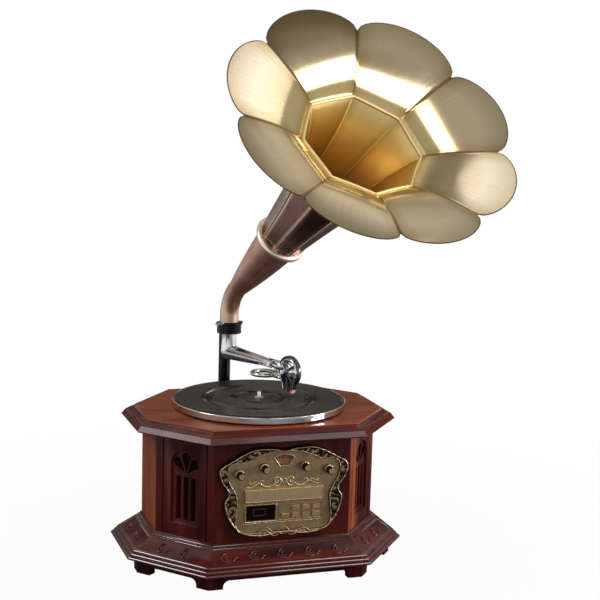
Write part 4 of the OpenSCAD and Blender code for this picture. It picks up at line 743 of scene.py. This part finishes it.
# the finger ring's rod is stouter than in the CAD
ring = pieces["finger_ring"].data
spot, normal = np.zeros((2, 3 * len(ring.vertices)))
ring.vertices.foreach_get("co", spot)
ring.vertices.foreach_get("normal", normal)
ring.vertices.foreach_set("co", spot + detailSettings["fatter"] * mm * normal)
ring.update()
for node, material in insideDress.items():
    nodes[node].data.materials.clear()
    nodes[node].data.materials.append(material)
print("CAD pieces dressed")

# Mat: two broad hollows shaped by a whole wave, and fine grooves in its surface
matSettings = {"foot": 273.05, "top": 275.9, "edge": 144.8, "bore": 4.2, "hollows": ((101, 81), (52, 34)),
               "deep": 2.4, "bevel": (1, 0.8), "rings": 150}


def groovedRubber(name):
    # fine rings round the spindle, mottled by noise
    material, tree, shader = newFinish(name, {})
    vary(tree, shader, cloudyNoise(tree, 40), tone(28, 23, 23), tone(40, 33, 32), 0.32)
    rings = addNode(tree, "ShaderNodeTexWave", {"Vector": objectPlace(tree), "Scale": 130.0},
                    wave_type="RINGS", rings_direction="Z")
    addBump(tree, shader, rings.outputs["Fac"], 0.25, 0.0004)
    return material


m = matSettings
matR = np.linspace(m["edge"] - m["bevel"][0], m["bore"], m["rings"])
matZ = np.full(m["rings"], m["top"])
for outerR, innerR in m["hollows"]:
    share = np.clip((outerR - matR) / (outerR - innerR), 0, 1)
    matZ -= m["deep"] * 0.5 * (1 - np.cos(2 * np.pi * share))
matProfile = np.concatenate([
    [[m["bore"], m["foot"]], [m["edge"], m["foot"]], [m["edge"], m["top"] - m["bevel"][1]]],
    np.stack([matR, matZ], -1)])


def inHollow(middle):
    # faces whose distance from the spindle lies within a hollow
    reach = np.hypot(middle[:, 0], middle[:, 1]) / mm
    return sum((reach < outerR) & (reach > innerR) for outerR, innerR in m["hollows"])


mat = makePiece("platterMat", lathe(matProfile, 160, True), "turntable", groovedRubber("mat_rubber"),
                ["platter_mat"], 30)
# the hollows are glossier rubber, painted darker as shade
paintFaces(mat, plain("gloss_rubber_painted_shade", tone(24, 23, 25), 0.16, 60, 0.0), inHollow)

# Plinth: a profile of overhang and height swept round the eight-sided plan, each mitre eased by a curve
planSettings = {"halfWidth": 194, "halfDepth": 146, "reach": 184, "turn": 50.3, "ease": 1.6, "steps": 4}


def octagonCorners(overhang):
    # each side moves out by the overhang; the slanted sides lie at the reach from the middle
    turn = math.radians(planSettings["turn"])
    s, c = math.sin(turn), math.cos(turn)
    overhang = np.asarray(overhang, float)
    a, b, d = (planSettings[key] + overhang for key in ("halfWidth", "halfDepth", "reach"))
    kx, ky = (d - b * c) / s, (d - a * s) / c
    return np.stack([np.stack(p, -1) for p in ((-kx, -b), (-a, -ky), (-a, ky), (-kx, b), (kx, b), (a, ky),
                                               (a, -ky), (kx, -b))], -2)


def octagonSweep(profile):
    # near each corner the outline is a short curve from one side to the next
    profile = np.asarray(profile, float)
    corner = octagonCorners(profile[:, 0])[:, :, None]
    before, after = (unit(np.roll(corner, k, 1) - corner) * planSettings["ease"] for k in (1, -1))
    t = np.linspace(0, 1, planSettings["steps"])[None, None, :, None]
    plan = (corner + before * (1 - t) ** 2 + after * t ** 2).reshape(len(profile), -1, 2)
    height = np.broadcast_to(profile[:, 1:, None], plan.shape[:2] + (1,))
    return gridShape(np.concatenate([plan, height], -1), wrapRows=True)


plinthSettings = {
    "foot": 26, "top": 68, "overhang": 51, "inside": -18, "beads": 3, "bead": 5.2, "step": 5,
    "beadHalf": (1.9, 2.4), "beadMiddle": 2.5, "groove": (-2.9, 2.45), "frieze": (34, 41.6, 12, 58),
    "friezeEdge": (0.6, 0.3), "friezeRows": 11, "hollow": 1.0,
    "fillets": ((0, 0), (0.4, 0.6), (0, 1.4), (-3.6, 2.2), (-4, 2.8), (-3.8, 4.8), (-4.4, 5.4), (-7.6, 6.0),
                (-8, 6.6), (-8, 8.4), (-10, 10)),
}
p = plinthSettings
# each bead is a half round with a flat between two bearings on its shoulder, held flat by two inner points
bulge = np.radians([-75, -56, -37, -18, 0, 16, 30, 66, 78])
beadOut, beadUp = p["beadHalf"]
section = np.stack([beadOut * np.cos(bulge), beadUp * np.sin(bulge)], -1)
flat = section[6] + np.array([[0.1], [0.9]]) * (section[7] - section[6])
section = np.concatenate([section[:7], flat, section[7:], [p["groove"]]])
beads = [section + [p["overhang"] - k * p["step"] - beadOut, p["foot"] + k * p["bead"] + p["beadMiddle"]]
         for k in range(p["beads"])]
footO, footZ, topO, topZ = p["frieze"]
fillets = np.array([topO, topZ]) + p["fillets"]
# the frieze is hollowed by a half wave between its edges
edgeO, edgeZ = p["friezeEdge"]
outwardSlope = unit(np.array([topZ - footZ, footO - topO]))
t = np.linspace(0, 1, p["friezeRows"])[:, None]
cove = np.array([footO, footZ + edgeZ]) * (1 - t) + np.array([topO, topZ]) * t
cove = cove - p["hollow"] * np.sin(np.pi * t) * outwardSlope
plinthProfile = np.concatenate([[[p["inside"], p["foot"]]], *beads, [[footO + edgeO, footZ]], cove[:-1],
                                fillets, [[p["inside"], p["top"]]]])
plinth = makePiece("plinthMoulding", octagonSweep(plinthProfile), "cabinet", [beadWood, levelWood],
                   ["plinth_moulding"], 32)
# beads and fillets are polished, the frieze between them is less so
faceRow = np.arange(len(plinth.data.polygons)) // (8 * planSettings["steps"])
friezeRow = 1 + sum(len(bead) for bead in beads)
inFrieze = (faceRow >= friezeRow) & (faceRow < friezeRow + len(cove))
plinth.data.polygons.foreach_set("material_index", inFrieze.astype(int))

# Carved crescents on the frieze: an outer and an inner arc that swell and taper, and a leaf beside them
carvingSettings = {
    "spacing": 48, "shift": -4, "outer": 8.6, "inner": 4.0, "innerShift": 1, "from": 48, "to": 315,
    "leaf": [(4, -8.5), (9, -6.5), (13.5, -1.5), (19, 0.5)], "least": 0.2, "thick": (2.7, 2.1, 1.8),
    "halfRise": 13.7, "counts": (2, 2, 2, 5, 2, 2, 2, 5),
}
c = carvingSettings
t = np.linspace(0, 1, 28)
turn = np.radians(c["from"] + (c["to"] - c["from"]) * t)
arc = np.stack([np.cos(turn), np.sin(turn)], -1)
leaf = smoothPath(c["leaf"], 6)
leafT = np.linspace(0, 1, len(leaf))
outerThick, innerThick, leafThick = c["thick"]
motif = [(c["outer"] * arc, c["least"] + outerThick * np.sin(np.pi * t) ** 0.8),
         ([c["innerShift"], 0] + c["inner"] * arc, c["least"] + innerThick * np.sin(np.pi * t)),
         (leaf, c["least"] + leafThick * np.sin(np.pi * leafT))]
carvings = []
high, low = octagonCorners(topO), octagonCorners(footO)
for k, count in enumerate(c["counts"]):
    after = (k + 1) % 8
    start = np.array([*(low[k] + high[k]) / 2, (footZ + topZ) / 2])
    end = np.array([*(low[after] + high[after]) / 2, (footZ + topZ) / 2])
    level = unit(start - end)
    lowMiddle, highMiddle = (low[k] + low[after]) / 2, (high[k] + high[after]) / 2
    rise = unit(np.array([*(highMiddle - lowMiddle), topZ - footZ]))
    proud = np.cross(level, rise)
    for n in range(count):
        spot = (start + end) / 2 + level * (c["spacing"] * (n - (count - 1) / 2) + c["shift"])
        for line, thick in motif:
            sunk = p["hollow"] * np.cos(line[:, 1:] / c["halfRise"] * np.pi / 2)
            path = spot + line[:, :1] * level + line[:, 1:] * rise - sunk * proud
            carvings.append(tube(path, thick, proud, 10))
makePiece("friezeCarvings", merge(carvings), "cabinet", levelWood)
print("woodwork done")

# Escutcheon: a relief border between the outline and the field, in half widths and half heights
fasciaSettings = {
    "half": (112, 75), "middle": 150, "front": -151, "back": -146, "rim": 3.2, "columns": 900, "rows": 28,
    "cell": 33, "scroll": 1.7, "wind": 0.62, "crisp": 1.6, "lobes": 4, "leafWind": 0.45, "leafShare": 0.3,
    "leafFrom": 5, "leafFade": 8, "leastWidth": 5, "widthFade": 8, "outerBead": (2.4, 2.2, 2.2),
    "innerBead": (1.5, 1.3, 1.1), "sunk": 0.6, "skirtOut": (0.5, 0.4, -0.2), "skirtBack": (-1.5, 0.4),
}
rubSettings = {"scroll": 0.5, "outerBead": 0.8, "innerBead": 1.0, "skirt": 0.6}
rimHalf = [[0, 0.97], [0.22, 1.01], [0.45, 1.01], [0.64, 0.91], [0.81, 0.77], [0.96, 0.64], [1, 0.49],
           [0.96, 0.29], [0.875, 0.11], [0.866, -0.03], [0.92, -0.19], [0.875, -0.48], [0.76, -0.76],
           [0.59, -0.93], [0.36, -0.98], [0.18, -0.96], [0, -0.93]]
fieldHalf = [[0, 0.92], [0.2, 0.9], [0.38, 0.83], [0.57, 0.71], [0.71, 0.71], [0.82, 0.65], [0.86, 0.47],
             [0.82, 0.25], [0.75, 0.07], [0.705, -0.13], [0.715, -0.37], [0.73, -0.67], [0.64, -0.85],
             [0.36, -0.89], [0, -0.87]]
f = fasciaSettings


def polarOutline(half, bearing):
    # radius of the smooth outline at each bearing from the middle
    half = np.array(half)
    loop = smoothPath(np.concatenate([half, half[-2:0:-1] * [-1, 1]]), 12, True) * f["half"]
    return np.interp(bearing, np.arctan2(loop[:, 0], loop[:, 1]), np.hypot(*loop.T), period=2 * np.pi)


def roundBead(size, distance):
    # a bell-shaped ridge of some height, at a distance from the edge, of some width
    tall, at, wide = size
    return tall * np.exp(-((distance - at) / wide) ** 2)


fine = np.linspace(0, 2 * np.pi, 4001)
meanR = (polarOutline(rimHalf, fine) + polarOutline(fieldHalf, fine)) / 2
stretch = np.hypot(np.diff(meanR * np.sin(fine)), np.diff(meanR * np.cos(fine)))
length = np.concatenate([[0], np.cumsum(stretch)])
arcLength = np.linspace(0, length[-1], f["columns"], endpoint=False)
bearing = np.interp(arcLength, length, fine)
rimR, fieldR = polarOutline(rimHalf, bearing), polarOutline(fieldHalf, bearing)
v = np.linspace(0, 1, f["rows"])[:, None]
width = (rimR - fieldR)[None]
cells = round(length[-1] / f["cell"])
phase = (arcLength / length[-1] * cells)[None]
along = (phase % 1 - 0.5) * f["cell"]
across = (v - 0.5) * width
hand = np.where(np.floor(phase) % 2 == 0, 1, -1)
swirl = np.arctan2(across, along) * hand
far = np.hypot(along, across)
# scrolls: ridges that wind outwards from the middle of each cell, with a leaf edge cut by short waves
scroll = (0.5 + 0.5 * np.cos(swirl - f["wind"] * far)) ** f["crisp"]
leaf = 0.5 + 0.5 * np.cos(f["lobes"] * swirl + f["leafWind"] * far)
leaf = leaf * np.clip((far - f["leafFrom"]) / f["leafFade"], 0, 1)
window = np.clip((width - f["leastWidth"]) / f["widthFade"], 0, 1) * (1 - np.abs(2 * v - 1) ** 4)
carved = f["scroll"] * window * ((1 - f["leafShare"]) * scroll + f["leafShare"] * leaf)
outerBead = roundBead(f["outerBead"], v * width)
innerBead = roundBead(f["innerBead"], (1 - v) * width)
reach = rimR + (fieldR - rimR) * v
# two rows of skirt at the outline and one inside the field close the relief
flatRow = np.ones((1, f["columns"]))
footOut, edgeOut, fieldOut = f["skirtOut"]
edgeBack, fieldBack = f["skirtBack"]
reach = np.concatenate([[rimR + footOut], reach[:1] + edgeOut, reach, [fieldR + fieldOut]])
depth = np.concatenate([f["back"] * flatRow, (f["front"] + edgeBack) * flatRow,
                        f["front"] - f["rim"] + f["sunk"] - (carved + outerBead + innerBead),
                        (f["front"] + fieldBack) * flatRow])
grid = np.stack([reach * np.sin(bearing), depth, f["middle"] + reach * np.cos(bearing)], -1)


def reliefBronze(name):
    # dark in the hollows, rubbed bright on the ridges
    material, tree, shader = newFinish(name, {"Metallic": 1.0, "Roughness": 0.36})
    colour = ramp(tree, fieldOf(tree, "relief"), [(0.1, tone(34, 27, 21)), (0.85, tone(232, 208, 170)),
                                                  (0.5, tone(70, 56, 44))])
    tree.links.new(colour, shader.inputs["Base Color"])
    return material


border = makePiece("escutcheonBorder", gridShape(grid, wrapRows=True), "cabinet",
                   reliefBronze("relief_bronze"), sharp=70)
beadRub = np.maximum(rubSettings["outerBead"] * outerBead / f["outerBead"][0],
                     rubSettings["innerBead"] * innerBead / f["innerBead"][0])
rubbed = np.maximum(rubSettings["scroll"] * carved / f["scroll"], beadRub)
relief = np.concatenate([0 * flatRow, rubSettings["skirt"] * flatRow, rubbed, 0 * flatRow])
border.data.attributes.new("relief", "FLOAT", "POINT").data.foreach_set("value", relief.ravel())


def onFascia(points, proud):
    # flat drawing in width and height laid on the escutcheon's face
    points = np.asarray(points, float)
    return np.stack([points[:, 0], np.full(len(points), f["front"] - proud), points[:, 1]], -1)


scrollSettings = {"least": 0.35, "ends": (0.05, 0.95), "full": 0.7}


def scrollTube(points, thick, proud=0.5):
    # thin at both ends and thick between, by a half wave
    path = onFascia(smoothPath(points, 8), proud)
    swell = np.sin(np.pi * np.linspace(*scrollSettings["ends"], len(path))) ** scrollSettings["full"]
    return tube(path, scrollSettings["least"] + thick * swell, (0, 1, 0), 10)


def frameTube(points, thick, proud=0.4):
    # a closed rod along a flat outline
    return tube(onFascia(points, proud), thick, (0, 1, 0), 10, True)


def rounded(x0, x1, z0, z1, r):
    # rectangle with round corners
    turn = np.radians(np.arange(0, 91, 15))
    corners = ((x1 - r, z1 - r, 0), (x0 + r, z1 - r, np.pi / 2), (x0 + r, z0 + r, np.pi),
               (x1 - r, z0 + r, 1.5 * np.pi))
    return np.concatenate([np.stack([x + r * np.cos(turn + q), z + r * np.sin(turn + q)], -1)
                           for x, z, q in corners])


def mirrored(scrolls):
    # each scroll twice, on the left and on the right
    return [(np.array(points) * [side, 1], thick) for side in (-1, 1) for points, thick in scrolls]


# Dial: a fan of two arcs with its rim a little wider than the glass, and marks on its card
dialSettings = {"middle": 184.5, "outer": 28, "inner": 11, "half": 36, "rim": 1.2, "widen": (1.06, 1.2),
                "rimThick": 1.3, "marks": 4, "markTurn": 7.5, "markR": 23, "markY": -143.2,
                "mark": (0.35, 0.15), "long": 3.0, "short": 2.0}
d = dialSettings
sweep = np.radians(np.linspace(-d["half"], d["half"], 17))
outerR, innerR = d["outer"] + d["rim"], d["inner"] - d["rim"]
fan = np.concatenate([
    np.stack([outerR * np.sin(sweep) * d["widen"][0], outerR * np.cos(sweep)], -1),
    np.stack([innerR * np.sin(sweep[::-1]) * d["widen"][1], innerR * np.cos(sweep[::-1])], -1)])
fan = fan + [0, d["middle"]]


def dialMark(k):
    # a block at the marks' radius, turned about the dial's middle
    long = d["short"] if k % 2 else d["long"]
    points, faces = block((0, d["markY"], d["markR"]), (*d["mark"], long))
    a = math.radians(k * d["markTurn"])
    x, y, z = points.T
    return np.stack([x * math.cos(a) + z * math.sin(a), y,
                     d["middle"] + z * math.cos(a) - x * math.sin(a)], -1), faces


# Scrolls as points in width and height with a thickness, one half of each; frames as rounded boxes
fieldScrolls = [
    ([(0.5, 161), (3, 167), (7, 173), (12, 175), (16, 172), (16, 167.5), (12.5, 165.5), (10, 168),
      (12, 170.5)], 1.1),
    ([(1, 174), (4, 170), (6, 164), (10, 160.5), (15, 161), (18, 164)], 0.9),
    ([(17, 166), (22, 161.5), (29, 160), (36, 162), (41, 167), (39, 171), (35, 169.5)], 1.0),
    ([(38, 164), (45, 166), (51, 163), (57, 160.5), (64, 161)], 0.9),
    ([(42, 168), (48, 169.5), (53, 167), (57, 166), (60, 168), (57, 170)], 0.7),
]
lowScrolls = [
    ([(0, 92), (5, 89), (9, 84.5), (6, 80.5), (0, 79)], 1.0),
    ([(8, 79), (15, 76.5), (22, 79), (28, 84.5), (35, 87), (42, 84), (44, 79.5), (40, 77.5),
      (37.5, 80.5)], 1.1),
    ([(12, 83), (18, 82.5), (23, 86), (26, 90), (31, 91), (33, 88.5)], 0.8),
]
frameSettings = {
    "display": ((-65.6, -12.4, 101, 130, 2.0), 1.4), "panel": ((-68, 68, 98.5, 132.5, 1.5), 0.6),
    "keys": ((-7.5, 66, 102, 129.5, 1.5), 0.5),
}
barSettings = {"box": (-66.6, 66.6, 136.4, 155.6, 1.2), "front": -156.4, "thick": 0.6}
digitSettings = {"box": (-51, -30, 110.3, 121.5, 0.8), "thick": 0.45, "proud": -3.1}
lowSettings = {"share": 0.85, "proud": 4.2}
footScrolls = [scrollTube(points, lowSettings["share"] * thick, lowSettings["proud"])
               for points, thick in mirrored(lowScrolls)]
makePiece("footScrolls", merge(footScrolls), "cabinet", bronze)
ornament = [scrollTube(points, thick) for points, thick in mirrored(fieldScrolls)]
ornament.append(frameTube(fan, d["rimThick"]))
ornament += [frameTube(rounded(*box), thick) for box, thick in frameSettings.values()]
makePiece("escutcheonScrolls", merge(ornament), "cabinet", brightBronze)
barLine = np.insert(rounded(*barSettings["box"]), 1, barSettings["front"], 1)
makePiece("drawerEdge", tube(barLine, barSettings["thick"], (0, 1, 0), 8, True), "drawer", brightBronze)
makePiece("displayFrame", frameTube(rounded(*digitSettings["box"]), digitSettings["thick"],
                                    digitSettings["proud"]), "cabinet", redFaint)
makePiece("dialMarks", merge([dialMark(k) for k in range(-d["marks"], d["marks"] + 1)]), "cabinet", enamel)
print("escutcheon done")

# Soundbox at the arm's end: lathe profiles about the arm's cross axis, radius and height to the front
headSettings = {"heading": 20.8, "reach": 180, "height": 319}
a = headSettings


def atArm(points):
    # from the arm's plane to the room
    return turned(points, a["heading"], hornSettings["axis"])


def atHead(points):
    # a lathe's axis turned to the front, at the arm's end
    x, y, z = np.moveaxis(np.asarray(points, float), -1, 0)
    return atArm(np.stack([a["reach"] + x, -z, a["height"] + y], -1))


boxProfile = smoothPath([[0.1, -5], [23, -5], [26.5, -4.2], [27.5, -2], [27.5, 2.4], [26.6, 4.4], [25.4, 5],
                         [24.4, 4.2], [24.0, 1.2], [10, 1.1], [0.1, 1.1]], 4)
dishProfile = smoothPath([[0.1, 1.2], [23.2, 1.2], [23.8, 2.6], [23, 4.2], [20.8, 5.0], [18.6, 4.0],
                          [17.6, 2.0], [16, 1.8], [14.4, 2.8], [12.6, 5.0], [9.6, 6.6], [6, 7.4],
                          [0.1, 7.7]], 4)
hubProfile = smoothPath([[0.1, 7.2], [5.4, 7.0], [5.2, 8.4], [3.6, 9.3], [0.1, 9.6]], 4)
makePiece("soundboxBody", moved(lathe(boxProfile), atHead), "arm_head", darkChrome, ["soundbox"])
makePiece("soundboxDish", moved(lathe(dishProfile), atHead), "arm_head", chrome, ["soundbox_cover"])
# spokes fall from the hub to the rim by the square of the way out
spokeSettings = {"bearings": (35, 125, 215, 305), "from": 4, "to": 21, "high": 7.0, "fall": 2.2,
                 "thick": (2.6, 2.0), "rows": 9}
s = spokeSettings
spokeT = np.linspace(0, 1, s["rows"])
out = s["from"] + (s["to"] - s["from"]) * spokeT
spokes = [tube(np.stack([out * math.cos(way), out * math.sin(way), s["high"] - s["fall"] * spokeT ** 2], -1),
               np.linspace(*s["thick"], s["rows"]), (0, 0, 1), 10) for way in np.radians(s["bearings"])]
makePiece("soundboxSpokes", moved(merge([lathe(hubProfile, 48)] + spokes), atHead), "arm_head", darkChrome)

# Claw under the soundbox: rounded sections that narrow from the disc to the cartridge's foot
clawSettings = {"rows": 20, "columns": 40, "wide": 24, "narrows": 11, "deep": 3.2, "deepens": 3.2,
                "back": 4.2, "top": 312, "tall": 26.1, "square": 0.6, "ribIn": 0.4,
                "ribs": ((-0.86, 1.3), (-0.05, 0.9), (0.9, 1.2))}
s = clawSettings
clawT = np.linspace(0, 1, s["rows"])
turn = np.linspace(0, 2 * np.pi, s["columns"], endpoint=False)
halfWide = s["wide"] - s["narrows"] * clawT ** 0.85
halfDeep = s["deep"] + s["deepens"] * clawT
middleY = -s["back"] * (1 - clawT) ** 1.5
levelZ = s["top"] - s["tall"] * clawT


def squarish(wave):
    # a power under one swells a circle towards a square
    return np.sign(wave) * np.abs(wave) ** clawSettings["square"]


clawGrid = np.stack([a["reach"] + halfWide[:, None] * squarish(np.cos(turn)),
                     middleY[:, None] + halfDeep[:, None] * squarish(np.sin(turn)),
                     np.repeat(levelZ[:, None], s["columns"], 1)], -1)
makePiece("cartridgeClaw", moved(gridShape(clawGrid), atArm), "arm_head", darkChrome, ["cartridge"])
ribs = [tube(np.stack([a["reach"] + share * halfWide, middleY - halfDeep * (1 - s["ribIn"] * abs(share)),
                       levelZ], -1), thick, (0, 1, 0), 8) for share, thick in s["ribs"]]
makePiece("clawRibs", moved(merge(ribs), atArm), "arm_head", chrome)
gripSettings = {"middle": (191, -1.5, 287), "half": (2.6, 3, 4.2)}
makePiece("stylusGrip", moved(block(**gripSettings), atArm), "arm_head", whitePlastic)

# Socket between the arm and the soundbox: a lathe about the arm's own axis
socketSettings = {"height": 324, "profile": [[0.1, 136], [5.8, 136], [7.6, 140], [9, 146], [9, 153],
                                             [7.6, 160], [4.6, 165], [0.1, 166.5]]}


def alongArm(points):
    # a lathe's axis laid along the arm
    x, y, z = points.T
    return atArm(np.stack([z, y, socketSettings["height"] + x], -1))


socket = lathe(smoothPath(socketSettings["profile"], 5), 48)
makePiece("headSocket", moved(socket, alongArm), "arm_head", chrome)
print("soundbox done")

# Floor: its far parts show as white, to the camera and in metal, and the near floor keeps the shadow
stageSettings = {"floor": 14.0, "below": 0.0005, "tone": (0.12, 0.12, 0.12, 1), "near": 0.4, "far": 1.2,
                 "least": 0.97, "wingNear": 0.8, "wingFar": 1.3, "frontNear": -0.9, "frontFar": -1.5,
                 "frontLevel": 0.35}
s = stageSettings
floorMaterial, tree, shader = newFinish("floor", {"Base Color": s["tone"], "Roughness": 0.9,
                                                  "Specular IOR Level": 0.0})
around = np.linspace(0, 2 * np.pi, 96, endpoint=False)
floorPoints = s["floor"] * np.stack([np.cos(around), np.sin(around), 0 * around], -1) - [0, 0, s["below"]]
floorMesh = bpy.data.meshes.new("floor")
floorMesh.from_pydata(floorPoints.tolist(), [], [list(range(len(around)))])
floorMesh.materials.append(floorMaterial)
floor = bpy.data.objects.new("floor", floorMesh)
bpy.context.scene.collection.objects.link(floor)
floor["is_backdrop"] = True
place = objectPlace(tree)
distance = addNode(tree, "ShaderNodeVectorMath", {0: place}, operation="LENGTH").outputs["Value"]
rays = addNode(tree, "ShaderNodeLightPath").outputs
fade = mapRange(tree, distance, s["near"], s["far"], s["least"])
toCamera = maths(tree, "MULTIPLY", rays["Is Camera Ray"], fade)
aside = maths(tree, "ABSOLUTE", axisOf(tree, place, "X"))
wings = mapRange(tree, aside, s["wingNear"], s["wingFar"])
frontFloor = mapRange(tree, axisOf(tree, place, "Y"), s["frontNear"], s["frontFar"], 0.0, s["frontLevel"])
toMetal = maths(tree, "MULTIPLY", rays["Is Glossy Ray"], maths(tree, "MAXIMUM", wings, frontFloor))
white = addNode(tree, "ShaderNodeEmission", {"Color": (1, 1, 1, 1), "Strength": 1.0})
blend = addNode(tree, "ShaderNodeMixShader", {0: maths(tree, "MAXIMUM", toCamera, toMetal),
                                              1: shader.outputs[0], 2: white.outputs[0]})
tree.links.new(blend.outputs[0], tree.nodes["Material Output"].inputs["Surface"])

# Room: brightness by height angle, before and behind the object, and a dark flag; white to the camera
roomSettings = {
    "front": {-90: 0.15, 0: 0.5, 17: 0.55, 30: 0.48, 45: 0.35, 52: 0.32, 60: 0.45, 90: 0.44},
    "back": {-90: 0.15, 0: 0.05, 17: 0.06, 26: 0.35, 42: 0.72, 50: 0.36, 58: 0.62, 66: 0.55, 75: 0.06,
             90: 0.2},
    "warmth": (1.0, 0.94, 0.8), "backFrom": -0.05, "backTo": 0.5, "whiteFrom": 0.08, "whiteTo": 0.01,
}
flagSettings = {"bearing": 62, "rise": 55, "wide": 10, "core": 2, "dark": (0.15, 0.12, 0.075, 1)}
s = roomSettings
g = flagSettings
world = bpy.data.worlds.new("studio")
bpy.context.scene.world = world
world.use_nodes = True
tree = world.node_tree
way = addNode(tree, "ShaderNodeTexCoord").outputs["Generated"]
height = axisOf(tree, way, "Z")
upwards = mapRange(tree, height, -1.0, 1.0)


def skyWay(bearing, rise):
    # the direction at a bearing from the front and a height angle
    turn, up = math.radians(bearing), math.radians(rise)
    return np.array([math.cos(up) * math.sin(turn), -math.cos(up) * math.cos(turn), math.sin(up)])


def roomLight(levels):
    # the ramp runs on the sine of the height angle
    return ramp(tree, upwards, [((math.sin(math.radians(rise)) + 1) / 2,
                                 (*(level * c for c in s["warmth"]), 1.0)) for rise, level in levels.items()])


behind = mapRange(tree, axisOf(tree, way, "Y"), s["backFrom"], s["backTo"])
sky = mixColour(tree, behind, roomLight(s["front"]), roomLight(s["back"]))
near = addNode(tree, "ShaderNodeVectorMath", {0: way, 1: skyWay(g["bearing"], g["rise"])},
               operation="DOT_PRODUCT").outputs["Value"]
flag = mapRange(tree, near, math.cos(math.radians(g["wide"])), math.cos(math.radians(g["core"])))
sky = mixColour(tree, flag, sky, g["dark"])
rays = addNode(tree, "ShaderNodeLightPath").outputs
lowDown = mapRange(tree, height, s["whiteFrom"], s["whiteTo"])
toMetal = maths(tree, "MULTIPLY", rays["Is Glossy Ray"], lowDown)
seen = maths(tree, "MAXIMUM", rays["Is Camera Ray"], rays["Is Transmission Ray"])
seen = maths(tree, "MAXIMUM", seen, toMetal)
backdrop = tree.nodes["Background"]
tree.links.new(mixColour(tree, seen, sky, (1, 1, 1, 1)), backdrop.inputs["Color"])
backdrop.inputs["Strength"].default_value = 1.0


def standing(right, over, back, at):
    # a lamp's or the camera's place, from its three axes and its spot
    return Matrix(np.vstack([np.column_stack([right, over, back, at]), [0, 0, 0, 1]]).tolist())


# Lamps: each stands at a bearing from the front, a height angle and a distance from what it aims at
hornAim, cabinetAim = (0.12, -0.18, 0.75), (-0.05, -0.1, 0.2)
lampSettings = {
    "strip": {"aim": hornAim, "at": (33, 43), "away": 2.0, "size": (1.9, 0.5), "tilt": -10, "power": 14},
    "side": {"aim": hornAim, "at": (92, 49), "away": 1.9, "size": (0.36, 0.6), "tilt": 0, "power": 0.8},
    "top": {"aim": hornAim, "at": (99.5, 69), "away": 1.8, "size": (0.5, 0.5), "tilt": 0, "power": 0.7},
    "crown": {"aim": hornAim, "at": (-11, 71.5), "away": 1.8, "size": (0.27, 0.6), "tilt": 0, "power": 1.4},
    "key": {"aim": hornAim, "at": (-38, 40), "away": 2.2, "size": (1.0, 0.9), "tilt": 0, "power": 5},
    "leftBack": {"aim": cabinetAim, "at": (-99.6, 38), "away": 2, "size": (0.7, 0.5), "tilt": 0, "power": 9},
    "lowRight": {"aim": cabinetAim, "at": (68, 12), "away": 2.2, "size": (0.8, 0.5), "tilt": 0, "power": 21},
}
for name, lamp in lampSettings.items():
    light = bpy.data.lights.new(name, "AREA")
    light.shape = "RECTANGLE"
    light.size, light.size_y = lamp["size"]
    light.energy = lamp["power"]
    back = skyWay(*lamp["at"])
    across = unit(np.cross([0, 0, 1], back))
    lean = math.radians(lamp["tilt"])
    across = math.cos(lean) * across + math.sin(lean) * np.cross(back, across)
    shown = bpy.data.objects.new(name, light)
    shown.matrix_world = standing(across, np.cross(back, across), back, lamp["aim"] + lamp["away"] * back)
    shown.visible_camera = False
    bpy.context.scene.collection.objects.link(shown)

# Camera, as fitted to the photograph
cameraSettings = {"at": (-0.6983, -2.2609, 0.8161), "yaw": -18.78, "pitch": 8.83, "roll": 1.58,
                  "lens": 83.4, "sensor": 36}
yaw, pitch, roll = (math.radians(cameraSettings[key]) for key in ("yaw", "pitch", "roll"))
ahead = np.array([-math.sin(yaw) * math.cos(pitch), math.cos(yaw) * math.cos(pitch), -math.sin(pitch)])
level = np.array([math.cos(yaw), math.sin(yaw), 0])
upright = np.cross(level, ahead)
right = math.cos(roll) * level + math.sin(roll) * upright
over = math.cos(roll) * upright - math.sin(roll) * level
lens = bpy.data.cameras.new("camera")
lens.sensor_width = cameraSettings["sensor"]
lens.lens = cameraSettings["lens"]
camera = bpy.data.objects.new("camera", lens)
camera.matrix_world = standing(right, over, -ahead, cameraSettings["at"])
bpy.context.scene.collection.objects.link(camera)
bpy.context.scene.camera = camera
bpy.context.scene.view_settings.view_transform = "Standard"
print("stage done")

low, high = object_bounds()
